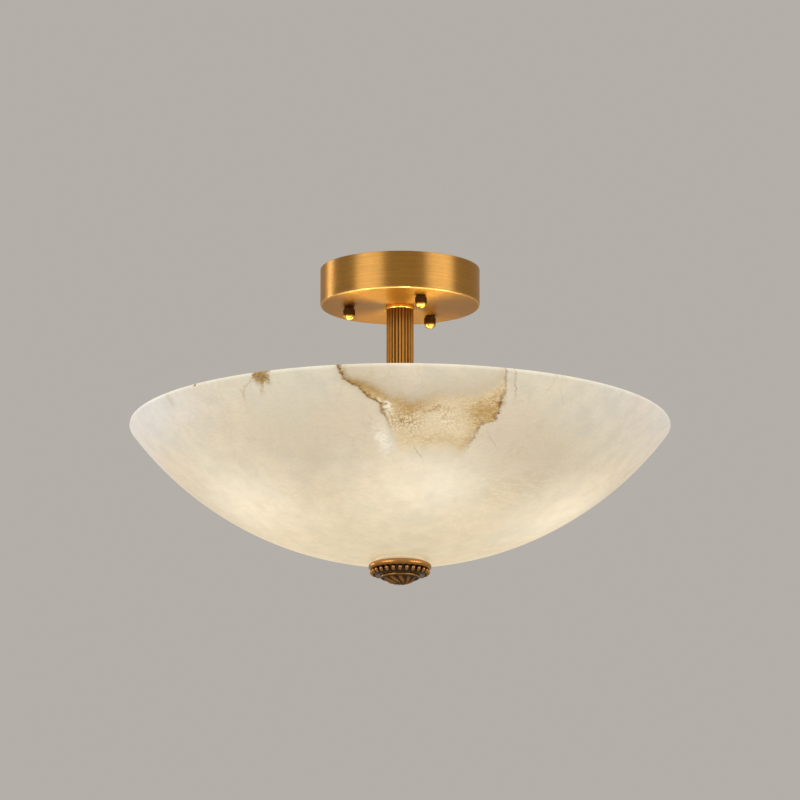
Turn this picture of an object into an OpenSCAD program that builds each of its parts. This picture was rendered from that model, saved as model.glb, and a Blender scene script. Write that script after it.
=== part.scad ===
// Ceiling light with an alabaster bowl, hung from a brass canopy on a reeded stem.
// The ceiling is the plane z = 0 and the light hangs below it. Millimetres.

/* [Bowl] */
// Outer diameter of the alabaster bowl
bowl_d = 500; // [400:5:560]
// Depth of the bowl from its rim to its outer bottom
bowl_depth = 129.5; // [110:0.5:150]
// Thickness of the alabaster
bowl_wall = 10; // [7:0.5:13]
// Radius of the rounded edges of the bowl's rim
lip_r = 2.5; // [1.5:0.1:3.2]
// Drop from the ceiling to the bowl's rim
rim_drop = 147; // [140:1:200]
// Radius of the flats turned inside and outside the bowl's bottom
bowl_flat_r = 24; // [23.5:0.5:28]
// Thickness of the rubber gaskets
gasket_t = 3; // [2:0.5:4]
// Radius of the rubber gaskets
gasket_r = 22; // [18:0.5:23]

/* [Canopy] */
// Diameter of the canopy
canopy_d = 148; // [146:1:170]
// Height of the canopy
canopy_h = 35; // [34:0.5:45]
// Sheet thickness of the canopy
canopy_wall = 1.5; // [1:0.1:2]
// Radius of the canopy's lower edge
canopy_edge_r = 2; // [1.8:0.1:4]
// Thickness of the steel plate inside the canopy
backing_t = 2; // [1.5:0.1:2.5]
// Width of that plate outside the studs' circle
backing_lap = 8.5; // [6:0.5:12]

/* [Bracket] */
// Radial gap between the ceiling bracket and the canopy
bracket_gap = 6.5; // [4:0.5:8]
// Sheet thickness of the bracket
bracket_t = 2; // [1.5:0.1:2.5]
// Depth of the pan pressed into the bracket
pan_depth = 5; // [4:0.5:6]
// Width of the flange round the pan
flange_w = 12.5; // [11.5:0.5:13.5]
// Distance from a ceiling screw hole to the bracket's edge
screw_edge = 5; // [4:0.5:6]
// Number of ceiling screw holes
ceiling_holes = 4; // [3:1:6]
// Radius of a ceiling screw hole
ceiling_hole_r = 2.6; // [2:0.1:2.8]
// Radius of the supply cable hole
cable_hole_r = 14; // [10:0.5:18]

/* [Studs and cap nuts] */
// Number of studs that hold the canopy
stud_count = 3; // [3:1:4]
// Distance from a stud to the pan's wall
stud_inset = 6; // [5.5:0.5:9]
// Direction of the first stud
stud_turn = 54; // [40:1:70]
// Thread diameter of the studs
stud_d = 4; // [3:0.5:4.5]
// Length of stud below the canopy
stud_grip = 8.7; // [8.5:0.1:9.5]
// Diameter of a cap nut
cap_nut_d = 11; // [9:0.5:13]
// Height of a cap nut
cap_nut_h = 12; // [11.5:0.5:14]
// Height of the plain neck at the top of a cap nut
cap_neck_h = 1.6; // [1:0.1:2]
// Height of a cap nut's domed end
cap_dome_h = 2.4; // [1.8:0.1:2.6]
// Number of knurls around a cap nut
knurls = 20; // [12:1:24]

/* [Stem] */
// Outer diameter of the reeded stem
stem_d = 25; // [22:0.5:30]
// Number of reeds around the stem
reeds = 24; // [18:1:28]
// Radius of the hole through the stem
stem_bore_r = 8.5; // [7:0.5:8.8]
// Diameter of the ring at the top of the stem
collar_d = 27; // [26:0.5:34]
// Height of the ring at the top of the stem
collar_h = 3.5; // [2.5:0.1:5]
// Outer diameter of the hollow threaded pipe
pipe_d = 10; // [9.6:0.1:10.4]
// Radius of the hole through the pipe
pipe_bore_r = 3.6; // [3.3:0.1:3.8]
// Length of pipe that stands above its top nut
pipe_top_h = 3.5; // [2.5:0.1:4]
// Pipe nut, width across the flats
pipe_nut_af = 14; // [13:0.5:16]
// Pipe nut thickness
pipe_nut_h = 4; // [3:0.1:5]
// Thickness of the lock washer on the pipe
washer_t = 1; // [0.8:0.1:1.4]
// Thickness of the washer on the bowl
bowl_washer_t = 2; // [1.5:0.1:3]

/* [Lamp cluster] */
// Number of bulbs
lamps = 5; // [3:1:5]
// Direction of the first bulb
lamp_turn = -82; // [-110:1:-60]
// Drop from the bowl's rim to the bulbs' centre line
lamp_drop = 38; // [34:1:42]
// Distance from the centre to a flat of the hub
hub_flat_r = 22; // [20:0.5:26]
// Height of the hub, cover included
hub_h = 30; // [28:0.5:34]
// Wall thickness of the hub
hub_wall = 2.5; // [2:0.1:2.9]
// Thickness of the hub's top plate and cover
hub_plate_t = 3; // [2.5:0.1:4]
// Outer diameter of a lamp arm
arm_d = 8; // [7.5:0.1:9]
// Radius of the hole through a lamp arm
arm_bore_r = 2.6; // [2.3:0.1:2.8]
// Arm nut, width across the flats
arm_nut_af = 12; // [11:0.5:13]
// Arm nut thickness
arm_nut_h = 2.5; // [2:0.1:3]
// Distance from the centre to the back of a lamp cup
cup_back_r = 62; // [58:1:68]
// Radius of a lamp cup
cup_r = 13; // [12.4:0.1:14]
// Length of a lamp cup
cup_len = 27; // [25:0.5:28]
// Sheet thickness of a lamp cup
cup_wall = 1.2; // [0.8:0.1:1.4]
// Length of the threaded boss in a lamp cup
boss_len = 8; // [6:0.5:10]
// Length of a ceramic lampholder
holder_len = 21; // [20.5:0.5:24]
// Spacing of a bulb's two pins
pin_spacing = 9; // [7:0.5:10]
// Radius of a bulb's pin
pin_r = 0.75; // [0.5:0.05:0.9]
// Length of a bulb's pin
pin_len = 12; // [10:0.5:14]
// Radius of a bulb's ceramic base
bulb_base_r = 7.5; // [6.5:0.1:9]
// Length of a bulb's ceramic base
bulb_base_len = 9; // [7:0.5:12]
// Radius of a bulb's glass
bulb_r = 8; // [7:0.1:9]
// Length of a bulb without its pins
bulb_len = 50; // [44:1:60]

/* [Finial] */
// Diameter of the finial's smooth band
finial_d = 58; // [56:0.5:64]
// Height of the smooth band
band_h = 5.8; // [5:0.1:7]
// Number of beads around the finial
beads = 26; // [18:1:28]
// Radius of one bead
bead_r = 2.9; // [2.6:0.1:3.1]
// Radius of the ring under the beads
ring_r = 17.6; // [15:0.1:19]
// Height of the dome under the ring
dome_h = 6.6; // [6:0.1:9]
// Length of pipe that the finial is screwed on
finial_grip = 12.4; // [12.1:0.1:12.6]

/* [Wiring] */
// Radius of a supply lead
lead_r = 1; // [0.8:0.05:1.1]
// Radius of a lamp lead
lamp_lead_r = 0.9; // [0.7:0.05:1]
// Length of the terminal block
block_len = 31; // [29:1:34]
// Width of the terminal block
block_w = 16; // [14:0.5:18]
// Height of the terminal block
block_h = 14; // [13:0.5:14.5]
// Spacing of the terminal block's poles
pole_pitch = 10; // [9.6:0.1:10.4]

/* [Clearances] */
// Radial gap between a thread and its nut
thread_gap = 0.05; // [0.02:0.01:0.1]
// Radial gap between a bolt or pipe and its hole
hole_gap = 0.25; // [0.15:0.05:0.4]
// Radial gap between the pipe and the hole in the alabaster
bowl_hole_gap = 1; // [0.5:0.1:2]
// Radial gap between a lampholder and its cup
holder_gap = 0.4; // [0.2:0.1:0.6]
// Gap between the two leads of a lamp
lead_gap = 0.3; // [0.1:0.05:0.4]
// Gap between a bulb's base and its lampholder
bulb_gap = 0.5; // [0.3:0.1:0.9]
// Radial gap between a bulb's pin and its socket
pin_gap = 0.4; // [0.3:0.05:0.5]

/* [Hidden] */
numbers = [for (i = [1:9]) str(i)];
function numbered(name, count) = [for (i = [0:count - 1]) str(name, "_", numbers[i])];
$fn = 64;
joint_eps = 0.1;

// Radii of the bracket and of what it carries, from the canopy inwards
bracket_r = canopy_d / 2 - canopy_wall - bracket_gap;
ceiling_screw_r = bracket_r - screw_edge;
pan_r = bracket_r - flange_w;
stud_circle_r = pan_r - stud_inset;
backing_r = stud_circle_r + backing_lap;

// Heights, all below the ceiling
rim_z = -rim_drop;
bowl_z = rim_z - bowl_depth;
lip_drop = bowl_depth - lip_r;
bowl_R = (pow(bowl_d / 2 - lip_r, 2) + pow(lip_drop, 2) - pow(lip_r, 2)) / (2 * (lip_drop - lip_r));
bowl_in_R = bowl_R - bowl_wall;
bowl_centre_z = bowl_z + bowl_R;
bowl_hole_r = pipe_d / 2 + bowl_hole_gap;
outer_flat_z = bowl_centre_z - sqrt(pow(bowl_R, 2) - pow(bowl_flat_r, 2));
inner_flat_z = bowl_centre_z - sqrt(pow(bowl_in_R, 2) - pow(bowl_flat_r, 2));
canopy_floor_z = -canopy_h + canopy_wall;
backing_z = canopy_floor_z + backing_t;
pipe_nut_z = backing_z + washer_t;
pipe_top_z = pipe_nut_z + pipe_nut_h + pipe_top_h;
stem_top_z = -canopy_h - collar_h;
lamp_z = rim_z - lamp_drop;
hub_top_z = lamp_z + hub_h / 2;
hub_bottom_z = hub_top_z - hub_h;
pan_z = -pan_depth - bracket_t;
finial_seat_z = outer_flat_z - gasket_t;
pipe_end_z = finial_seat_z - finial_grip;

// Heights within the finial
band_lip = 0.25;
bead_gap = 0.1;
ring_half_h = 0.5;
ring_to_bead = 2 * ring_half_h;
ring_to_dome = 0.8;
band_top_z = finial_seat_z + band_lip;
band_low_z = band_top_z - band_h;
bead_z = band_low_z - bead_r - bead_gap;
ring_z = bead_z - bead_r - ring_to_bead;
dome_top_z = ring_z - ring_to_dome;
dome_base_r = ring_r - 0.6;
dome_R = (pow(dome_base_r, 2) + pow(dome_h, 2)) / (2 * dome_h);

// The reeds of the stem nearly fill its circle, and the stem's core closes the gaps between them
reed_share = 0.96;
reed_turn = 30;
reed_span = sin(180 / reeds) * reed_share;
reed_r = stem_d / 2 * reed_span / (1 + reed_span);
reed_circle_r = stem_d / 2 - reed_r;
stem_core_r = reed_circle_r + reed_r * 0.3;

// Distances outwards along one lamp's line
lamp_step = 360 / lamps;
hub_in_r = hub_flat_r - hub_wall;
block_flat_r = 13;
block_bore_r = 8;
arm_past_nut = 1.5;
arm_in_r = hub_in_r - arm_nut_h - arm_past_nut;
holder_back_r = cup_back_r + boss_len;
arm_out_r = holder_back_r - 2;
holder_face_r = holder_back_r + holder_len;
holder_r = cup_r - cup_wall - holder_gap;
bulb_back_r = holder_face_r + bulb_gap;
socket_depth = pin_len + 1;
lamp_lead_side = lamp_lead_r + lead_gap / 2;

// The terminal block stands on the backing plate, between two studs
block_x = 23;
block_y = pole_pitch / 2;
block_z = backing_z;
pole_h = 8.5;
pole_z = block_z + pole_h;
sleeve_r = 2.55;
sleeve_bore_r = lead_r + 1;
sleeve_inset = 1;
block_screw_r = 1.5;
screw_inset = 4.5;
block_screw_x = block_w / 2 - screw_inset;
screw_gap = 0.1;
pole_ys = [-pole_pitch / 2, pole_pitch / 2, pole_pitch * 1.5];
earth_at = [-5, 30];
earth_screw_r = 2;
ring_terminal_t = 0.8;

// Repeats its children around the axis, the first one at the angle turn
module around(count, turn = 0) {
    for (i = [0:count - 1]) rotate([0, 0, turn + i * 360 / count]) children();
}

// Moves its children to the centre line of lamp number i, which then runs along +X
module on_lamp(i) {
    rotate([0, 0, lamp_turn + i * lamp_step]) translate([0, 0, lamp_z]) children();
}

// A round bar along +X from one distance to another
module bar_x(from, to, r) {
    translate([from, 0, 0]) rotate([0, 90, 0]) cylinder(h = to - from, r = r);
}

// A flat ring standing on z = 0
module ring(r, hole_r, h) {
    difference() {
        cylinder(h = h, r = r);
        translate([0, 0, -joint_eps]) cylinder(h = h + 2 * joint_eps, r = hole_r);
    }
}

// A hexagonal nut standing on z = 0
module hex_nut(af, hole_r, h) {
    difference() {
        cylinder(h = h, r = af / sqrt(3), $fn = 6);
        translate([0, 0, -joint_eps]) cylinder(h = h + 2 * joint_eps, r = hole_r);
    }
}

// A regular prism with one flat facing each lamp, standing on z = 0
module lamp_prism(flat_r, h) {
    rotate([0, 0, lamp_turn + lamp_step / 2])
        cylinder(h = h, r = flat_r / cos(lamp_step / 2), $fn = lamps);
}

// A screw head with a cross recess, its top at z = 0
module pan_head(r, h) {
    recess_w = r * 0.3;
    recess_len = r * 1.2;
    recess_h = h * 0.6;
    difference() {
        translate([0, 0, -h]) cylinder(h = h, r = r);
        for (turn = [0, 90]) rotate([0, 0, turn])
            translate([-recess_len / 2, -recess_w / 2, -recess_h]) cube([recess_len, recess_w, h]);
    }
}

function unit(v) = v / norm(v);
function tangent(p, i) = unit(p[min(i + 1, len(p) - 1)] - p[max(i - 1, 0)]);
function ring_of(c, t, side, r, sides) =
    let (a = unit(cross(t, side)), b = cross(t, a))
    [for (k = [0:sides - 1]) c + r * (cos(k * 360 / sides) * a + sin(k * 360 / sides) * b)];

// A wire through the points of a route. side is a direction that the route never takes
module wire(route, r, side) {
    sides = 8;
    last = len(route) - 1;
    points = [for (i = [0:last]) each ring_of(route[i], tangent(route, i), side, r, sides)];
    skin = [for (i = [0:last - 1], k = [0:sides - 1])
        let (a = i * sides + k, b = i * sides + (k + 1) % sides) [a, b, b + sides, a + sides]];
    ends = [[for (k = [sides - 1:-1:0]) k], [for (k = [0:sides - 1]) last * sides + k]];
    polyhedron(points = points, faces = concat(skin, ends));
}

// Points of a bend of radius r that starts at c + r * from and ends at c + r * to
function bend(c, r, from, to, steps = 6) =
    [for (k = [0:steps]) c + r * (cos(k * 90 / steps) * from + sin(k * 90 / steps) * to)];

// Ceiling side
module bracket_plate() {
    lip_r = pan_r + bracket_t;
    color("silver") difference() {
        rotate_extrude() polygon([
            [cable_hole_r, pan_z], [cable_hole_r, -pan_depth], [pan_r, -pan_depth], [pan_r, 0],
            [bracket_r, 0], [bracket_r, -bracket_t], [lip_r, -bracket_t], [lip_r, pan_z]]);
        around(ceiling_holes, 45) translate([ceiling_screw_r, 0, -bracket_t - joint_eps])
            cylinder(h = bracket_t + 2 * joint_eps, r = ceiling_hole_r);
        around(stud_count, stud_turn) translate([stud_circle_r, 0, pan_z - joint_eps])
            cylinder(h = bracket_t + 2 * joint_eps, r = stud_d / 2 + thread_gap);
    }
}

module bracket_studs() {
    head_h = 2.6;
    stud_end_z = -canopy_h - stud_grip;
    color("gainsboro") around(stud_count, stud_turn) translate([stud_circle_r, 0, 0]) {
        translate([0, 0, -pan_depth + head_h]) pan_head(stud_d, head_h);
        translate([0, 0, stud_end_z]) cylinder(h = -pan_depth - stud_end_z, r = stud_d / 2);
    }
}

module stud_lock_nuts() {
    nut_af = 7;
    nut_h = 3.2;
    color("silver") around(stud_count, stud_turn) translate([stud_circle_r, 0, pan_z - nut_h])
        hex_nut(nut_af, stud_d / 2 + thread_gap, nut_h);
}

module cap_nut(i) {
    r = cap_nut_d / 2;
    neck_r = r * 0.82;
    knurl_r = 0.5;
    knurl_margin = 0.8;
    blind_end = 0.8;
    dome_R = (pow(r, 2) + pow(cap_dome_h, 2)) / (2 * cap_dome_h);
    band_low = -cap_nut_h + cap_dome_h;
    band_len = cap_nut_h - cap_neck_h - cap_dome_h;
    color("goldenrod") rotate([0, 0, stud_turn + i * 360 / stud_count])
        translate([stud_circle_r, 0, -canopy_h]) difference() {
            union() {
                translate([0, 0, -cap_neck_h]) cylinder(h = cap_neck_h, r = neck_r);
                translate([0, 0, band_low]) cylinder(h = band_len, r = r);
                intersection() {
                    translate([0, 0, -cap_nut_h + dome_R]) sphere(dome_R);
                    translate([0, 0, -cap_nut_h]) cylinder(h = cap_dome_h, r = r);
                }
            }
            translate([0, 0, -stud_grip - blind_end])
                cylinder(h = stud_grip + blind_end + joint_eps, r = stud_d / 2 + thread_gap);
            around(knurls) translate([r + knurl_r * 0.5, 0, band_low + knurl_margin])
                cylinder(h = band_len - 2 * knurl_margin, r = knurl_r);
        }
}

// Canopy and what it holds
module canopy() {
    r = canopy_d / 2;
    e = canopy_edge_r;
    steps = 8;
    function edge(k, edge_r) =
        [r - e + edge_r * cos(k * 90 / steps), -canopy_h + e - edge_r * sin(k * 90 / steps)];
    outer = [for (k = [0:steps]) edge(k, e)];
    inner = [for (k = [steps:-1:0]) edge(k, e - canopy_wall)];
    color("goldenrod") difference() {
        rotate_extrude() polygon(concat([[r, 0]], outer,
            [[pipe_d / 2 + hole_gap, -canopy_h], [pipe_d / 2 + hole_gap, canopy_floor_z]],
            inner, [[r - canopy_wall, 0]]));
        around(stud_count, stud_turn) translate([stud_circle_r, 0, -canopy_h - joint_eps])
            cylinder(h = canopy_wall + 2 * joint_eps, r = stud_d / 2 + hole_gap);
    }
}

module backing_plate() {
    color("silver") translate([0, 0, canopy_floor_z]) difference() {
        ring(backing_r, pipe_d / 2 + hole_gap, backing_t);
        translate([0, 0, -joint_eps]) {
            around(stud_count, stud_turn) translate([stud_circle_r, 0, 0])
                cylinder(h = backing_t + 2 * joint_eps, r = stud_d / 2 + hole_gap);
            translate([block_x + block_w / 2, block_y + pole_pitch / 2, 0])
                cylinder(h = backing_t + 2 * joint_eps, r = block_screw_r + thread_gap);
            translate(earth_at)
                cylinder(h = backing_t + 2 * joint_eps, r = earth_screw_r + thread_gap);
        }
    }
}

module pipe_lock_washer() {
    washer_r = pipe_nut_af / sqrt(3) + 1;
    color("silver") translate([0, 0, backing_z]) ring(washer_r, pipe_d / 2 + hole_gap, washer_t);
}

module pipe_top_nut() {
    color("silver") translate([0, 0, pipe_nut_z])
        hex_nut(pipe_nut_af, pipe_d / 2 + thread_gap, pipe_nut_h);
}

module centre_pipe() {
    slot_r = 2.8;
    color("gainsboro") difference() {
        translate([0, 0, pipe_end_z]) ring(pipe_d / 2, pipe_bore_r, pipe_top_z - pipe_end_z);
        translate([0, pipe_d, lamp_z]) rotate([90, 0, 0]) cylinder(h = 2 * pipe_d, r = slot_r);
    }
}

module stem_collar() {
    r = collar_d / 2;
    chamfer = 0.8;
    color("darkgoldenrod") rotate_extrude() translate([0, stem_top_z]) polygon([
        [pipe_d / 2 + hole_gap, 0], [r - chamfer, 0], [r, chamfer],
        [r, collar_h - chamfer], [r - chamfer, collar_h], [pipe_d / 2 + hole_gap, collar_h]]);
}

module reeded_stem() {
    length = stem_top_z - hub_top_z;
    color("darkgoldenrod") translate([0, 0, hub_top_z]) difference() {
        union() {
            cylinder(h = length, r = stem_core_r);
            around(reeds, reed_turn) translate([reed_circle_r, 0, 0]) cylinder(h = length, r = reed_r);
        }
        translate([0, 0, -joint_eps]) cylinder(h = length + 2 * joint_eps, r = stem_bore_r);
    }
}

// Connections inside the canopy
module terminal_block() {
    mid_x = block_w / 2;
    screw_way_r = block_screw_r + 0.3;
    head_pocket_r = 2.7;
    head_pocket_h = 2.2;
    color("whitesmoke") translate([block_x, 0, 0]) difference() {
        translate([0, block_y - block_len / 2, block_z]) cube([block_w, block_len, block_h]);
        for (y = pole_ys) {
            translate([-joint_eps, y, pole_z]) bar_x(0, block_w + 2 * joint_eps, sleeve_r + thread_gap);
            for (x = [mid_x - block_screw_x, mid_x + block_screw_x]) translate([x, y, pole_z])
                cylinder(h = block_h, r = screw_way_r);
        }
        translate([mid_x, block_y + pole_pitch / 2, block_z - joint_eps])
            cylinder(h = 2 * block_h, r = block_screw_r + screw_gap);
        translate([mid_x, block_y + pole_pitch / 2, block_z + block_h - head_pocket_h])
            cylinder(h = block_h, r = head_pocket_r);
    }
}

module terminal_sleeves() {
    mid_x = block_w / 2;
    color("goldenrod") for (y = pole_ys) translate([block_x, y, pole_z]) difference() {
        bar_x(sleeve_inset, block_w - sleeve_inset, sleeve_r);
        bar_x(0, block_w, sleeve_bore_r);
        for (x = [mid_x - block_screw_x, mid_x + block_screw_x]) translate([x, 0, 0])
            cylinder(h = block_h, r = block_screw_r + thread_gap);
    }
}

module terminal_screws() {
    mid_x = block_w / 2;
    screw_h = 3.6;
    slot_w = 0.5;
    slot_h = 0.7;
    tip_z = pole_z + lead_r + screw_gap;
    color("silver") for (y = pole_ys, x = [mid_x - block_screw_x, mid_x + block_screw_x])
        translate([block_x + x, y, tip_z]) difference() {
            cylinder(h = screw_h, r = block_screw_r);
            translate([-block_screw_r * 2, -slot_w / 2, screw_h - slot_h])
                cube([block_screw_r * 4, slot_w, 2 * slot_h]);
        }
}

module terminal_fixing_screw() {
    head_r = 2.5;
    head_h = 2.1;
    head_z = block_z + block_h - screw_gap;
    tip_z = canopy_floor_z + screw_gap;
    color("gainsboro") translate([block_x + block_w / 2, block_y + pole_pitch / 2, 0]) {
        translate([0, 0, head_z]) pan_head(head_r, head_h);
        translate([0, 0, tip_z]) cylinder(h = head_z - head_h - tip_z, r = block_screw_r);
    }
}

module earth_screw() {
    head_r = 3.8;
    head_h = 2.4;
    color("goldenrod") translate(earth_at) {
        translate([0, 0, backing_z + ring_terminal_t + head_h]) pan_head(head_r, head_h);
        translate([0, 0, canopy_floor_z + screw_gap])
            cylinder(h = backing_t + ring_terminal_t - screw_gap, r = earth_screw_r);
    }
}

// Direction from the earth screw to its pole on the terminal block
earth_way = unit([block_x - earth_at[0], pole_ys[2] - earth_at[1]]);
barrel_end = 0.6;
barrel_r = lead_r + 0.6;
barrel_z = backing_z + barrel_r;
function earth_point(d, z) = [earth_at[0] + d * earth_way[0], earth_at[1] + d * earth_way[1], z];

module earth_terminal() {
    eye_r = 4.7;
    barrel_len = 6;
    barrel_turn = atan2(earth_way[1], earth_way[0]);
    color("silver") difference() {
        union() {
            translate([earth_at[0], earth_at[1], backing_z]) cylinder(h = ring_terminal_t, r = eye_r);
            translate(earth_point(0, barrel_z)) rotate([0, 0, barrel_turn])
                bar_x(eye_r - barrel_end, eye_r + barrel_len, barrel_r);
        }
        translate(earth_point(0, barrel_z)) rotate([0, 0, barrel_turn])
            bar_x(eye_r + barrel_end, eye_r + barrel_len + 1, lead_r + thread_gap * 3);
        translate([earth_at[0], earth_at[1], backing_z - joint_eps])
            cylinder(h = 4 * barrel_r, r = earth_screw_r + screw_gap);
    }
}

module earth_lead() {
    y = pole_ys[2];
    color("yellowgreen") wire([
        [block_x + 4, y, pole_z], [block_x - 2, y, pole_z], [block_x - 5, y + 0.6, pole_z - 0.2],
        [block_x - 8, y + 1.8, pole_z - 1.2], [block_x - 11.5, y + 4.2, pole_z - 3.6],
        [block_x - 14.5, y + 6.4, pole_z - 5.6], earth_point(11.5, barrel_z + 0.3),
        earth_point(9, barrel_z), earth_point(6, barrel_z)], lead_r, [0, 0, 1]);
}

// A supply lead from its pole, over the pipe's top, down the pipe and out into the junction block
module supply_lead(way, pole_y) {
    off = 1.3 * way;
    up = [0, 0, 1];
    out = unit([block_x, pole_y - off, 0]);
    top = [0, off, pipe_top_z + 1.5];
    turn_r = 4;
    low_c = [0, off + way * turn_r, lamp_z + turn_r];
    color(way > 0 ? "royalblue" : "saddlebrown") wire(concat(
        [[block_x + 6, pole_y, pole_z], [block_x - 1, pole_y, pole_z],
        [block_x - 4, pole_y - 3 * out[1], pole_z + 0.6],
        top + 12.5 * out + 4.4 * up, top + 8.6 * out + 5.2 * up],
        bend(top + turn_r * out, turn_r, out * 0.6 + up * 1.2, -out, 5),
        bend(low_c, turn_r, [0, -way, 0], -up),
        [[0, way * (block_bore_r - 0.2), lamp_z]]), lead_r, [-1, 1, 0]);
}
module live_lead() { supply_lead(-1, pole_ys[0]); }
module neutral_lead() { supply_lead(1, pole_ys[1]); }

// Lamp cluster
module hub_body() {
    color("goldenrod") difference() {
        translate([0, 0, hub_bottom_z + hub_plate_t]) lamp_prism(hub_flat_r, hub_h - hub_plate_t);
        translate([0, 0, hub_bottom_z]) lamp_prism(hub_in_r, hub_h - hub_plate_t);
        translate([0, 0, hub_bottom_z]) cylinder(h = 2 * hub_h, r = pipe_d / 2 + hole_gap);
        for (i = [0:lamps - 1]) on_lamp(i) bar_x(hub_in_r - 1, hub_flat_r + 1, arm_d / 2 + hole_gap);
    }
}

module hub_cover() {
    color("goldenrod") translate([0, 0, hub_bottom_z]) difference() {
        lamp_prism(hub_flat_r, hub_plate_t);
        translate([0, 0, -joint_eps])
            cylinder(h = hub_plate_t + 2 * joint_eps, r = pipe_d / 2 + hole_gap);
    }
}

module hub_lock_nut() {
    color("silver") translate([0, 0, hub_bottom_z - pipe_nut_h])
        hex_nut(pipe_nut_af, pipe_d / 2 + thread_gap, pipe_nut_h);
}

module junction_block() {
    base_z = hub_bottom_z + hub_plate_t;
    h = lamp_z + 5 - base_z;
    color("ivory") translate([0, 0, base_z]) difference() {
        lamp_prism(block_flat_r, h);
        translate([0, 0, -joint_eps]) cylinder(h = h + 2 * joint_eps, r = block_bore_r);
    }
}

module arm_nuts() {
    color("silver") for (i = [0:lamps - 1]) on_lamp(i)
        for (back = [hub_in_r - arm_nut_h, hub_flat_r]) translate([back, 0, 0])
            rotate([0, 90, 0]) hex_nut(arm_nut_af, arm_d / 2 + thread_gap, arm_nut_h);
}

module lamp_leads() {
    color("white") for (i = [0:lamps - 1], side = [-1, 1]) on_lamp(i)
        translate([0, side * lamp_lead_side, 0]) bar_x(block_flat_r, holder_back_r, lamp_lead_r);
}

module lamp_arm(i) {
    color("goldenrod") on_lamp(i) difference() {
        bar_x(arm_in_r, arm_out_r, arm_d / 2);
        bar_x(arm_in_r - 1, arm_out_r + 1, arm_bore_r);
    }
}

module lamp_cup(i) {
    floor_t = 2;
    boss_wall = 3;
    color("goldenrod") on_lamp(i) difference() {
        bar_x(cup_back_r, cup_back_r + cup_len, cup_r);
        difference() {
            bar_x(cup_back_r + floor_t, cup_back_r + cup_len + 1, cup_r - cup_wall);
            bar_x(cup_back_r, holder_back_r, arm_d / 2 + boss_wall);
        }
        bar_x(cup_back_r - 1, arm_out_r, arm_d / 2 + thread_gap);
        bar_x(cup_back_r, holder_back_r + 1, arm_bore_r);
    }
}

module lampholder(i) {
    color("white") on_lamp(i) difference() {
        bar_x(holder_back_r, holder_face_r, holder_r);
        for (side = [-1, 1]) translate([0, side * pin_spacing / 2, 0])
            bar_x(holder_face_r - socket_depth, holder_face_r + 1, pin_r + pin_gap);
    }
}

module bulb(i) {
    base_end = bulb_back_r + bulb_base_len;
    tip = bulb_back_r + bulb_len;
    color("lightyellow") on_lamp(i) union() {
        bar_x(bulb_back_r, base_end, bulb_base_r);
        bar_x(base_end, tip - bulb_r, bulb_r);
        translate([tip - bulb_r, 0, 0]) sphere(bulb_r);
        for (side = [-1, 1]) translate([0, side * pin_spacing / 2, 0])
            bar_x(holder_face_r - pin_len, bulb_back_r + 1, pin_r);
    }
}

// Bowl and what clamps it. The lip's two rounds touch the outer and the inner sphere
lip_out = [bowl_d / 2 - lip_r, rim_z - lip_r];
lip_in = [sqrt(pow(bowl_in_R + lip_r, 2) - pow(bowl_centre_z - rim_z + lip_r, 2)), rim_z - lip_r];
lip_out_turn = atan2(lip_out[1] - bowl_centre_z, lip_out[0]);
lip_in_turn = atan2(lip_in[1] - bowl_centre_z, lip_in[0]) + 180;
function lip_point(c, turn) = c + lip_r * [cos(turn), sin(turn)];
function lip_arc(c, from, to, steps = 8) =
    [for (k = [0:steps]) lip_point(c, from + (to - from) * k / steps)];

module bowl() {
    outer = lip_point(lip_out, lip_out_turn);
    inner = lip_point(lip_in, lip_in_turn);
    past = 0.2 * (outer - inner);
    color("antiquewhite") rotate_extrude($fn = 128) union() {
        intersection() {
            difference() {
                translate([0, bowl_centre_z]) circle(bowl_R);
                translate([0, bowl_centre_z]) circle(bowl_in_R);
            }
            polygon([[bowl_hole_r, outer_flat_z], [bowl_d, outer_flat_z], outer + past,
                inner - past, [bowl_hole_r, inner[1]]]);
        }
        translate([bowl_hole_r, outer_flat_z])
            square([bowl_flat_r - bowl_hole_r, inner_flat_z - outer_flat_z]);
        polygon(concat(lip_arc(lip_out, lip_out_turn, 90), lip_arc(lip_in, 90, lip_in_turn)));
    }
}

module bowl_bottom_gasket() {
    color("gainsboro") translate([0, 0, finial_seat_z])
        ring(gasket_r, pipe_d / 2 + hole_gap, gasket_t);
}

module bowl_top_gasket() {
    color("gainsboro") translate([0, 0, inner_flat_z]) ring(gasket_r, pipe_d / 2 + hole_gap, gasket_t);
}

module bowl_top_washer() {
    color("silver") translate([0, 0, inner_flat_z + gasket_t])
        ring(gasket_r - 2, pipe_d / 2 + hole_gap, bowl_washer_t);
}

module bowl_top_nut() {
    color("silver") translate([0, 0, inner_flat_z + gasket_t + bowl_washer_t])
        hex_nut(pipe_nut_af, pipe_d / 2 + thread_gap, pipe_nut_h);
}

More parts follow.
